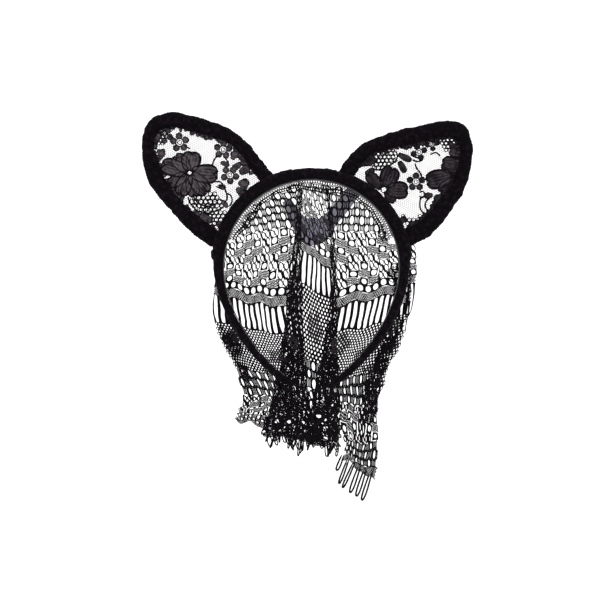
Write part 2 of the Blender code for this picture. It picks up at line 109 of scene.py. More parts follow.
# Flowers of the net: place across, place down and reach, in mm.
VEIL_FLOWERS = ((14, 120, 7), (38, 130, 7), (50, 116, 5.5), (88, 117, 7), (104, 128, 7), (118, 115, 6),
                (95, 140, 5), (150, 121, 7.5), (168, 132, 6.5), (184, 119, 6), (28, 141, 5), (178, 142, 5),
                (66, 126, 6), (134, 134, 6))
# Drape of the veil, one row for each column of the flat cloth: its place across the flat
# cloth, then x, then z, then depth y, all in mm, at these distances down the flat cloth.
DROPS = (0.0, 45.0, 90.0, 110.0, 140.0, 161.0, 178.0, 205.0)
DRAPE = (
    (0, (-66, -68.5, -69.5, -70.5, -57.5, -49, -54, -56), (-8, -43, -79, -99, -130, -154, -163, -170), 8.3),
    (20, (-50, -46.5, -48.5, -46.5, -38, -31, -36, -38), (0, -41, -84, -103, -134, -156, -168, -177), 8.4),
    (40, (-31, -27, -28, -26, -20, -15.5, -16, -17), (6, -37, -87, -107, -136, -157, -172, -184), 8.3),
    (58, (-6.5, -8.8, -7.5, -6.2, -3.5, -1.5, 3, 4), (9, -34, -86, -107, -137, -158, -174, -186), 8.9),
    (80, (-8.5, -9.5, -13.3, -15.2, -21, -27, -34, -35), (36, -4, -44, -63, -112, -149, -172, -183.5), 10.3),
    (102, (0, 1, 3, 1, -1, -2, -5, -5), (28, -14, -54, -76, -123, -152, -173, -185), 11.0),
    (125, (9, 14.8, 17.8, 18.5, 19, 19, 19.5, 19.5), (17, -26, -68, -90, -132, -156, -175, -191), 10.3),
    (137, (9, 13.4, 13.6, 11, 5, 1, -3, -3), (7, -36, -84, -105, -137, -158, -175, -190), 8.9),
    (155, (33, 33, 33, 28, 22, 21, 21, 21.5), (5, -39, -85, -105, -138, -160, -175.5, -192), 8.3),
    (173, (52, 54, 54, 49, 37, 34, 33.5, 32), (0, -38, -80, -100, -136, -163, -182, -205), 8.4),
    (192, (66, 73.5, 74.8, 72, 55, 48, 48, 45), (0, -35, -72, -92, -132, -163, -184, -211), 8.3),
)
# The slit at the lower right: its place across, its top down the cloth, and how fast it opens.
SLIT_ACROSS = 155.0
SLIT_TOP = 163.0
SLIT_EASE = 16.0
# Places across between which each pressed pleat folds.
FIRST_PLEAT = (58.0, 80.0)
SECOND_PLEAT = (125.0, 137.0)
# Border lace behind the crown: radii from the hoop's middle, and how far round it goes.
SELVAGE_INNER = 58.6 * MM
SELVAGE_OUTER = 66.0 * MM
SELVAGE_ANGLE = 71.0
SELVAGE_FLAT_WIDTH = 0.0102
# How much of each lace is thread: the veil and its side folds, which are opened out by their fullness.
VEIL_SHARE = 0.5
FOLD_SHARE = 0.6
FOLD_FULLNESS = 1.3

# Sheer ribbon swag behind the crown: centreline x and z in mm.
RIBBON_LINE = ((33.0, -3.0), (28.0, -10.0), (21.5, -18.5), (14.0, -27.0), (7.5, -33.5), (0.5, -35.5),
               (-6.0, -32.0), (-11.0, -26.0), (-14.5, -20.0), (-18.0, -13.0))
RIBBON_HALF_WIDTH = 5.6

# Lower ends of the right fringe's loops: x and z in mm.
RIGHT_FRINGE_ENDS = ((18.4, -207.5), (20.0, -217.0), (22.6, -220.0), (28.0, -223.5), (32.5, -226.0),
                     (36.5, -229.0))

STUDIO_FLOOR = -0.236


# ---------------------------------------------------------------- shared shapes

def soft_noise(points, size, seed):
    """Random values from -1 to 1 at the corners of cubes of this size, eased between them.

    The ease across each cube is 3t^2 - 2t^3 in every direction.
    """
    scaled = np.asarray(points, float) / size
    cell = np.floor(scaled).astype(np.int64)
    part = scaled - cell
    ease = part * part * (3.0 - 2.0 * part)
    total = np.zeros(scaled.shape[:-1])
    for corner in np.ndindex(*(2,) * scaled.shape[-1]):
        key = np.full(scaled.shape[:-1], seed * 7919, np.int64)
        weight = np.ones(scaled.shape[:-1])
        for axis, side in enumerate(corner):
            key = key + (cell[..., axis] + side) * (73856093, 19349663, 83492791)[axis]
            weight = weight * (ease[..., axis] if side else 1.0 - ease[..., axis])
        key = (key ^ (key >> 13)) * 1274126177 & 0x7FFFFFFF
        key = (key ^ (key >> 15)) * 2246822519 & 0x7FFFFFFF
        total += weight * ((key % 20011) / 10005.0 - 1.0)
    return total


def spline(knots, values, places):
    """Smooth curve through the values at the knots: cubic pieces whose slopes are central
    differences, evaluated at the places."""
    knots = np.asarray(knots, float)
    values = np.asarray(values, float)
    places = np.asarray(places, float)
    slopes = np.gradient(values, knots, axis=0)
    left = np.clip(np.searchsorted(knots, places, side="right") - 1, 0, len(knots) - 2)
    width = knots[left + 1] - knots[left]
    t = (places - knots[left]) / width
    shape = t.shape + (1,) * (values.ndim - 1)
    t = t.reshape(shape)
    width = width.reshape(shape)
    return ((2 * t ** 3 - 3 * t ** 2 + 1) * values[left] + (t ** 3 - 2 * t ** 2 + t) * width * slopes[left]
            + (3 * t ** 2 - 2 * t ** 3) * values[left + 1] + (t ** 3 - t ** 2) * width * slopes[left + 1])


def smooth_line(points, count):
    """Evenly spaced points on the smooth curve through the given points."""
    points = np.asarray(points, float)
    steps = np.linalg.norm(np.diff(points[:, :2], axis=0), axis=1)
    knots = np.concatenate(([0.0], np.cumsum(steps)))
    fine = spline(knots, points, np.linspace(0.0, knots[-1], 1500))
    lengths = np.concatenate(([0.0], np.cumsum(np.linalg.norm(np.diff(fine[:, :2], axis=0), axis=1))))
    even = np.linspace(0.0, lengths[-1], count)
    return np.stack([np.interp(even, lengths, fine[:, axis]) for axis in range(fine.shape[1])], axis=1)


def unit(vectors):
    """The same vectors, each one unit long."""
    return vectors / np.maximum(np.linalg.norm(vectors, axis=-1, keepdims=True), 1e-9)


def signed_power(values, power):
    """sign(v) |v|^p, which squares off a circle where p is below 1."""
    return np.sign(values) * np.abs(values) ** power


def circle(sides, start=0.0):
    """Cosines and sines of equal steps round a circle, turned by a share of one step."""
    turn = 2.0 * np.pi * (np.arange(sides) + start) / sides
    return np.cos(turn), np.sin(turn)


def square(c, s):
    """The circle's points moved out to the square round it: (c, s) / max(|c|, |s|)."""
    return np.stack((c, s), axis=-1) / np.maximum(np.abs(c), np.abs(s))[:, None]


def upright(flat, depth=0.0):
    """Points with the flat places' x and z, and the depth as y."""
    return np.stack((flat[..., 0], np.broadcast_to(depth, flat.shape[:-1]), flat[..., 1]), axis=-1)


def sideways(line):
    """Directions square to a flat line, on its left."""
    slope = unit(np.gradient(line, axis=0))
    return np.stack((-slope[:, 1], slope[:, 0]), axis=1)


def counted(rows, columns):
    """Row and column numbers of every place in a table, row by row."""
    return (numbers.ravel() for numbers in np.meshgrid(np.arange(rows), np.arange(columns), indexing="ij"))


def grid_faces(rows, columns, wrap_columns=False, wrap_rows=False):
    """Four-sided faces of a grid of points, closed round either way if asked."""
    row, column = counted(rows if wrap_rows else rows - 1, columns if wrap_columns else columns - 1)
    next_row, next_column = (row + 1) % rows, (column + 1) % columns
    return np.stack((row * columns + column, row * columns + next_column,
                     next_row * columns + next_column, next_row * columns + column), axis=-1)


def ring_faces(items, rings, sides, closed=True):
    """Faces of many equal tubes: ring to ring and round each ring, for every item."""
    one = grid_faces(rings, sides, wrap_columns=True, wrap_rows=closed)
    starts = np.arange(items) * rings * sides
    return (one[None, :, :] + starts[:, None, None]).reshape(-1, 4)


def joined(parts):
    """One set of points and faces out of several."""
    starts = np.cumsum([0] + [len(points) for points, _ in parts])
    return (np.concatenate([points for points, _ in parts]),
            np.concatenate([faces + start for (_, faces), start in zip(parts, starts)]))


def facing_out(points, faces):
    """A closed shape's points and faces, turned round if its signed volume is below zero."""
    points = points.reshape(-1, 3)
    a, b, c, d = (points[faces[:, corner]] for corner in range(4))
    volume = (a * np.cross(b, c)).sum() + (a * np.cross(c, d)).sum()
    return points, faces if volume >= 0.0 else faces[:, ::-1]


def make_piece(name, points, faces, material, shade=None):
    """A smooth mesh object from arrays of points and four-sided faces."""
    mesh = bpy.data.meshes.new(name)
    mesh.vertices.add(len(points))
    mesh.vertices.foreach_set("co", np.ascontiguousarray(points, np.float32).ravel())
    mesh.loops.add(faces.size)
    mesh.loops.foreach_set("vertex_index", np.ascontiguousarray(faces, np.int32).ravel())
    mesh.polygons.add(len(faces))
    mesh.polygons.foreach_set("loop_start", np.arange(0, faces.size, 4, dtype=np.int32))
    mesh.update(calc_edges=True)
    mesh.shade_smooth()
    if shade is not None:
        layer = mesh.attributes.new("shade", "FLOAT", "POINT")
        layer.data.foreach_set("value", np.full(len(points), shade, np.float32))
    mesh.materials.append(material)
    piece = bpy.data.objects.new(name, mesh)
    bpy.context.scene.collection.objects.link(piece)
    return piece


def threads(paths, radius, sides=5):
    """Round threads along many paths: point plus radius times (cos q across, sin q along Y).

    Both ends taper to a point, so each thread is closed but for a hair.
    """
    slope = np.gradient(paths, axis=1)
    across = unit(np.stack((slope[..., 2], np.zeros(slope.shape[:-1]), -slope[..., 0]), axis=-1))
    c, s = circle(sides)
    width = np.full(paths.shape[:2], radius)
    width[:, [0, -1]] *= 0.05
    ring = across[:, :, None, :] * c[:, None] + Y_AXIS * s[:, None]
    points = paths[:, :, None, :] + width[:, :, None, None] * ring
    return facing_out(points, ring_faces(len(paths), paths.shape[1], sides, closed=False))


# ---------------------------------------------------------------- materials

def node(tree, kind, settings=(), **inputs):
    """Add a node, set its properties and plain inputs, and return it."""
    made = tree.nodes.new(kind)
    for name, value in dict(settings).items():
        setattr(made, name, value)
    for name, value in inputs.items():
        made.inputs[name].default_value = value
    return made


def textured(tree, kind, scale, **inputs):
    """A texture on the point's own place: the distance to its cells, or else its strength."""
    made = node(tree, "ShaderNodeTex" + kind, Scale=scale, **inputs)
    tree.links.new(node(tree, "ShaderNodeTexCoord").outputs["Object"], made.inputs["Vector"])
    return made.outputs["Distance" if kind == "Voronoi" else "Fac"]


def paint(tree, shader, source, stops):
    """Colour the shader by the source, through a ramp of (place, colour) stops."""
    ramp = tree.nodes.new("ShaderNodeValToRGB")
    while len(ramp.color_ramp.elements) < len(stops):
        ramp.color_ramp.elements.new(0.5)
    for element, (place, colour) in zip(ramp.color_ramp.elements, stops):
        element.position = place
        element.color = (*colour, 1.0)
    tree.links.new(source, ramp.inputs["Fac"])
    tree.links.new(ramp.outputs["Color"], shader.inputs["Base Color"])


def new_material(name, roughness, specular, sheen=0.0, sheen_tint=(1.0, 1.0, 1.0), metallic=0.0):
    """A Principled material with its constant values set on the shader's own sockets."""
    material = bpy.data.materials.new(name)
    material.use_nodes = True
    shader = material.node_tree.nodes["Principled BSDF"]
    values = {"Roughness": roughness, "Specular IOR Level": specular, "Sheen Weight": sheen,
              "Sheen Roughness": 0.4, "Sheen Tint": (*sheen_tint, 1.0), "Metallic": metallic}
    for socket, value in values.items():
        shader.inputs[socket].default_value = value
    return material, material.node_tree, shader


def add_bump(tree, shader, *layers):
    """Chain bump nodes from (height output, strength, distance in metres) layers."""
    surface = None
    for height, strength, distance in layers:
        bump = node(tree, "ShaderNodeBump", Strength=strength, Distance=distance)
        tree.links.new(height, bump.inputs["Height"])
        if surface is not None:
            tree.links.new(surface, bump.inputs["Normal"])
        surface = bump.outputs["Normal"]
    tree.links.new(surface, shader.inputs["Normal"])


def grained(name, values, grains, stops, *bumps):
    """A material coloured by its first grain, with relief from bump layers.

    Each grain is (kind, scale, settings); each layer is (grain's number, strength, distance).
    """
    material, tree, shader = new_material(name, *values)
    heights = [textured(tree, kind, scale, **settings) for kind, scale, settings in grains]
    paint(tree, shader, heights[0], stops)
    if bumps:
        add_bump(tree, shader, *((heights[number], *relief) for number, *relief in bumps))
    return material


def lace_thread():
    """Twisted black-violet yarn: the piece's own shade + 0.5 fibre grain + 0.25 broad tone."""
    material, tree, shader = new_material("lace_yarn", 0.75, 0.05, 0.01, (0.8, 0.7, 0.9))
    fibre = textured(tree, "Noise", 1500.0, Detail=4.0, Roughness=0.7)
    tone = textured(tree, "Noise", 90.0, Detail=2.0)
    total = node(tree, "ShaderNodeAttribute", {"attribute_name": "shade"}).outputs["Fac"]
    for source, share in ((fibre, 0.5), (tone, 0.25)):
        added = node(tree, "ShaderNodeMath", {"operation": "MULTIPLY_ADD"})
        tree.links.new(source, added.inputs[0])
        added.inputs[1].default_value = share
        tree.links.new(total, added.inputs[2])
        total = added.outputs[0]
    paint(tree, shader, total, ((0.20, (0.0010, 0.0006, 0.0012)), (0.55, (0.0048, 0.0032, 0.0054)),
                                (1.00, (0.0620, 0.0540, 0.0600))))
    add_bump(tree, shader, (fibre, 0.6, 0.00008))
    return material


def ribbed_ribbon():
    """Narrow grosgrain tape: sine ribs across it and a faint satin gloss."""
    material, tree, shader = new_material("ribbed_lining_tape", 0.55, 0.35, 0.1)
    place = node(tree, "ShaderNodeAttribute", {"attribute_name": "shade"})
    ribs = node(tree, "ShaderNodeMath", {"operation": "SINE"})
    tree.links.new(place.outputs["Fac"], ribs.inputs[0])
    fibre = textured(tree, "Noise", 1200.0, Detail=3.0)
    paint(tree, shader, fibre, ((0.3, (0.006, 0.005, 0.007)), (0.7, (0.016, 0.013, 0.018))))
    add_bump(tree, shader, (ribs.outputs[0], 0.8, 0.00015), (fibre, 0.4, 0.00005))
    return material


YARN = lace_thread()
TAPE = ribbed_ribbon()
# Black crushed fabric under fine lace: mottled near-black, small cells and pile.
FABRIC = grained("wound_lace_fabric", (0.85, 0.04, 0.02, (0.75, 0.65, 0.85)),
                 (("Noise", 330.0, {"Detail": 5.0, "Roughness": 0.62}), ("Voronoi", 1050.0, {}),
                  ("Noise", 2600.0, {"Detail": 3.0})),
                 ((0.30, (0.0007, 0.0005, 0.0008)), (0.52, (0.0021, 0.0014, 0.0025)),
                  (0.78, (0.0120, 0.0072, 0.0112))),
                 (1, 0.8, 0.0003), (2, 0.5, 0.00012), (0, 0.6, 0.0004))
# Sheer violet organza: see-through, crossed fine threads, soft gloss.
ORGANZA = grained("sheer_violet_organza", (0.42, 0.45, 0.2, (0.8, 0.75, 1.0)),
                  (("Noise", 160.0, {"Detail": 3.0}), ("Voronoi", 2600.0, {})),
                  ((0.30, (0.024, 0.016, 0.062)), (0.70, (0.080, 0.058, 0.180))), (1, 0.4, 0.00006))
ORGANZA.node_tree.nodes["Principled BSDF"].inputs["Alpha"].default_value = 0.90
# Satin black plastic strip with faint scuffs.
PLASTIC = grained("black_spring_plastic", (0.45, 0.5),
                  (("Noise", 700.0, {"Detail": 6.0, "Roughness": 0.7}),),
                  ((0.3, (0.012, 0.012, 0.014)), (0.7, (0.024, 0.024, 0.027))), (0, 0.3, 0.00005))
# Dark grey fluffy wadding.
WADDING = grained("grey_wadding", (0.95, 0.1, 0.3), (("Noise", 900.0, {"Detail": 8.0, "Roughness": 0.75}),),
                  ((0.3, (0.050, 0.050, 0.053)), (0.7, (0.130, 0.130, 0.136))), (0, 0.9, 0.0006))
# Bright drawn steel wire with fine drawing marks.
WIRE = grained("drawn_steel_wire", (0.32, 0.5, 0.0, (1.0, 1.0, 1.0), 1.0),
               (("Noise", 2200.0, {"Detail": 3.0}),),
               ((0.3, (0.36, 0.36, 0.37)), (0.7, (0.58, 0.58, 0.60))), (0, 0.2, 0.00003))
# Black sewing thread: tight twist and slight wax gloss.
THREAD = grained("black_sewing_thread", (0.6, 0.4), (("Wave", 900.0, {"Distortion": 3.0}),),
                 ((0.2, (0.006, 0.005, 0.007)), (0.8, (0.022, 0.018, 0.024))), (0, 0.7, 0.0001))
# Matt white studio paper with a faint grain.
PAPER = grained("studio_paper", (0.9, 0.05), (("Noise", 220.0, {"Detail": 3.0}),),
                ((0.3, (0.94, 0.94, 0.94)), (0.7, (0.97, 0.97, 0.97))))


# ---------------------------------------------------------------- hoop

def hoop_frame(angle):
    """Inner face point, outward direction and heading at angles from the crown's top.

    Point = centre + radius * outward on the crown's circle; past the arms' start the
    circle is the flatter one that meets it there. Heading runs away from the top.
    """
    side = np.where(angle >= 0.0, 1.0, -1.0)
    turn = np.radians(np.abs(angle))
    start = math.radians(ARM_ARC_START)
    outward = upright(np.stack((np.sin(turn), np.cos(turn)), axis=-1))
    heading = upright(np.stack((np.cos(turn), -np.sin(turn)), axis=-1))
    joint = np.array((math.sin(start), 0.0, math.cos(start)))
    flat_centre = CENTRE + joint * (CROWN_RADIUS - ARM_RADIUS)
    on_arm = (turn > start)[..., None]
    point = np.where(on_arm, flat_centre + outward * ARM_RADIUS, CENTRE + outward * CROWN_RADIUS)
    flip = np.stack((side, np.ones_like(side), np.ones_like(side)), axis=-1)
    return point * flip, outward * flip, heading * flip


def hoop_sizes(angle):
    """Whole thickness and half width of the hoop at an angle."""
    away = np.abs(angle)
    thickness = np.interp(away, (80.0, 92.0, TIP_ANGLE), (8.5, 7.2, 5.2)) * MM
    return thickness, np.interp(away, (80.0, TIP_ANGLE), (6.0, 4.2)) * MM


def fabric_relief(points, amount):
    """Small lumps of gathered lace: broad, medium and fine soft noise added up."""
    return amount * MM * (0.26 * soft_noise(points, 6.0 * MM, 3) + 0.24 * soft_noise(points, 2.6 * MM, 5)
                          + 0.12 * soft_noise(points, 1.2 * MM, 8))


def binding_ridges(angle, turn):
    """Turns of a wound strip: |sin| ridges that climb round the hoop."""
    return 0.35 * MM * np.abs(np.sin(np.radians(angle) * RIDGES_PER_RADIAN + turn * 0.5))


def hoop_tube(first, last, rounded=False, base=HOOP_BASE, swollen=0.0, step=0.35, relief=1.0, ridged=False):
    """A tube along the hoop: a flattened oval of height and y carried from one angle to another.

    Oval = middle + reach * sign(s)|s|^(2/p), half width * sign(c)|c|^(2/p). A rounded end
    shrinks the oval by cos e while it moves on by length * sin e. Flat ends are closed by
    drawing the last ring in to a point.
    """
    count = max(int(abs(last - first) / step), 8)
    lift = np.radians(np.linspace(6.0, 90.0, 14))[0 if rounded else -1:]
    angles = np.concatenate(((first,), np.linspace(first, last, count), np.full(len(lift), last)))
    shrink = np.maximum(np.concatenate(((0.0,), np.ones(count), np.cos(lift))), 0.002)
    slide = np.concatenate((np.zeros(count + 1), np.sin(lift) * TIP_LENGTH * rounded))
    point, outward, heading = hoop_frame(angles)
    top, half = hoop_sizes(angles)
    share = np.clip((angles - first) / (last - first), 0.0, 1.0)
    swell = swollen * np.sin(np.pi * share) ** 0.6
    beside_ear = np.interp(np.abs(angles), (14.0, 24.0, 76.0, 86.0), (0.0, 1.0, 1.0, 0.0))
    top, half = top + swell + EAR_BASE_ROLL * beside_ear, half + swell
    turn = 2.0 * np.pi * (np.arange(HOOP_SIDES) + 0.5) / HOOP_SIDES
    power = 2.0 / np.where(np.sin(turn) > 0.0, 2.4, 3.6)
    across, up = signed_power(np.cos(turn), power), signed_power(np.sin(turn), power)
    middle, reach = (top + base) / 2.0, (top - base) / 2.0
    height = middle[:, None] + reach[:, None] * up * shrink[:, None]
    y = half[:, None] * across * shrink[:, None]
    points = (point[:, None, :] + outward[:, None, :] * height[..., None]
              + heading[:, None, :] * slide[:, None, None] + Y_AXIS * y[..., None])
    middle_line = point + outward * middle[:, None] + heading * slide[:, None]
    bump = fabric_relief(points, relief)
    if ridged:
        bump = bump + binding_ridges(angles[:, None], turn[None, :])
    bump = bump * np.clip(shrink * 3.0, 0.0, 1.0)[:, None] * np.clip(0.35 + up, 0.12, 1.0)
    points = points + unit(points - middle_line[:, None, :]) * bump[..., None]
    return facing_out(points, grid_faces(len(angles), HOOP_SIDES, wrap_columns=True))


def bend_at_arm(piece):
    """Bake the piece's placement into its mesh."""
    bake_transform(piece)


def build_hoop():
    """Fabric of the crown's top and of each side, the tapes inside and the bound strips."""
    crown = make_piece("crown_fabric", *hoop_tube(-15.2, 11.2), FABRIC)
    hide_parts("crown_cover")
    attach(crown, "crown")
    for side, first in (("left", -14.6), ("right", 10.6)):
        band = make_piece(side + "_band_fabric", *hoop_tube(first, SIGNS[side] * TIP_ANGLE, True), FABRIC)
        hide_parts("crown_cover", side + "_arm_cover", side + "_tip_cap")
        bend_at_arm(band)
        build_tape(side)
    for name, (first, last) in WRAPS.items():
        swollen = 0.35 * MM if "upper" in name else 0.9 * MM
        tube = hoop_tube(first, last, base=0.35 * MM, swollen=swollen, step=0.12, relief=1.5, ridged=True)
        binding = make_piece(name.replace("wrap", "binding"), *tube, FABRIC)
        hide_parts(name)
        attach(binding, "crown")


def build_tape(side):
    """Lining tape of one side: a thin strip along the inner face with rolled edges."""
    angles = np.linspace(0.0, SIGNS[side] * (TIP_ANGLE - 0.5), 260)
    point, outward, _ = hoop_frame(angles)
    _, half = hoop_sizes(angles)
    half = half - 1.9 * MM
    across = np.array((-1.0, -0.96, -0.5, 0.0, 0.5, 0.96, 1.0, 0.96, 0.5, 0.0, -0.5, -0.96))
    up = np.array((0.5, 0.85, 1.0, 1.0, 1.0, 0.85, 0.5, 0.1, 0.0, 0.0, 0.0, 0.1)) * LINING_THICKNESS
    points = (point[:, None, :] + outward[:, None, :] * up[:, None]
              + Y_AXIS * (half[:, None] * across)[..., None])
    faces = grid_faces(len(angles), len(across), wrap_columns=True)
    ribs = np.repeat(np.radians(np.abs(angles)) * CROWN_RADIUS / RIB_PITCH * 2.0 * np.pi, len(across))
    piece = make_piece(side + "_lining_tape", *facing_out(points, faces), TAPE, shade=ribs)
    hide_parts("crown_lining", side + "_arm_lining")
    bend_at_arm(piece)


# ---------------------------------------------------------------- ears

def ear_line(side, count):
    """Centreline of an ear's rim in metres with its half width, evenly spaced."""
    line = smooth_line(np.array(EARS[side]) * MM, count)
    return line[:, :2], line[:, 2]


def blend_ear(piece):
    """Bake the piece's placement into its mesh."""
    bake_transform(piece)


def build_rim(side):
    """Padded rim of an ear: an oval section of half width w and half depth d carried along
    the ear's outline, with soft gathers where the lace is pulled round it."""
    line, half = ear_line(side, 620)
    side_way = upright(sideways(line))
    middle = upright(line)
    length = np.concatenate(([0.0], np.cumsum(np.linalg.norm(np.diff(line, axis=0), axis=1))))
    share = length / length[-1]
    foot = np.clip(np.minimum(share, 1.0 - share) / 0.10, 0.0, 1.0)
    depth = FOOT_HALF_DEPTH + (RIM_HALF_DEPTH - FOOT_HALF_DEPTH) * foot
    across, deep = (signed_power(value, 0.9) for value in circle(RIM_SIDES))
    end = np.ones(len(line))
    end[[0, -1]] = 0.002
    gathers = np.sin(length / (1.9 * MM) * 2.0 * np.pi + 2.5 * soft_noise(middle, 6.0 * MM, 21))
    points = (middle[:, None, :] + side_way[:, None, :] * ((half * end)[:, None] * across)[..., None]
              + Y_AXIS * ((depth * end)[:, None] * deep)[..., None])
    relief = fabric_relief(points, 1.7) + 0.10 * MM * gathers[:, None] * np.abs(across)
    points = points + unit(points - middle[:, None, :]) * (relief * end[:, None])[..., None]
    rim = facing_out(points, grid_faces(len(line), RIM_SIDES, wrap_columns=True))
    piece = make_piece(side + "_ear_rim_fabric", *rim, FABRIC)
    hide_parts(side + "_ear_rim")
    blend_ear(piece)


def build_ear_wire(side):
    """The bent wire inside an ear's rim: a round tube along the rim's centreline."""
    line, _ = ear_line(side, 160)
    line = line[np.hypot(line[:, 0], line[:, 1] + CROWN_RADIUS) > WIRE_START]
    piece = make_piece(side + "_ear_bent_wire", *threads(upright(line)[None], WIRE_RADIUS, 12), WIRE)
    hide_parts(side + "_ear_wire")
    blend_ear(piece)


def inside_outline(places, outline):
    """True for places inside a closed outline: an odd number of its edges lie to the right."""
    x, z = places[:, 0][:, None], places[:, 1][:, None]
    near, far = outline, np.roll(outline, -1, axis=0)
    crosses = (near[:, 1] > z) != (far[:, 1] > z)
    rise = np.where(np.abs(far[:, 1] - near[:, 1]) < 1e-12, 1e-12, far[:, 1] - near[:, 1])
    at = near[:, 0] + (z - near[:, 1]) / rise * (far[:, 0] - near[:, 0])
    return (np.sum(crosses & (x < at), axis=1) % 2) == 1


def ear_opening(side):
    """Outline of the lace in an ear, in mm: just inside the rim's middle, closed along the hoop."""
    line, half = ear_line(side, 220)
    inward = sideways(line)
    if np.sum((line.mean(axis=0) - line[110]) * inward[110]) < 0.0:
        inward = -inward
    line = line + inward * (half * 0.45)[:, None]
    line = line[np.hypot(line[:, 0], line[:, 1] + CROWN_RADIUS) > LACE_START]
    start, stop = (math.atan2(line[end, 0], line[end, 1] + CROWN_RADIUS) for end in (-1, 0))
    arc = np.linspace(start, stop, 40)[1:-1]
    closing = np.stack((np.sin(arc) * WIRE_START, np.cos(arc) * WIRE_START - CROWN_RADIUS), axis=1)
    return np.concatenate((line, closing)) / MM


# ---------------------------------------------------------------- ear lace

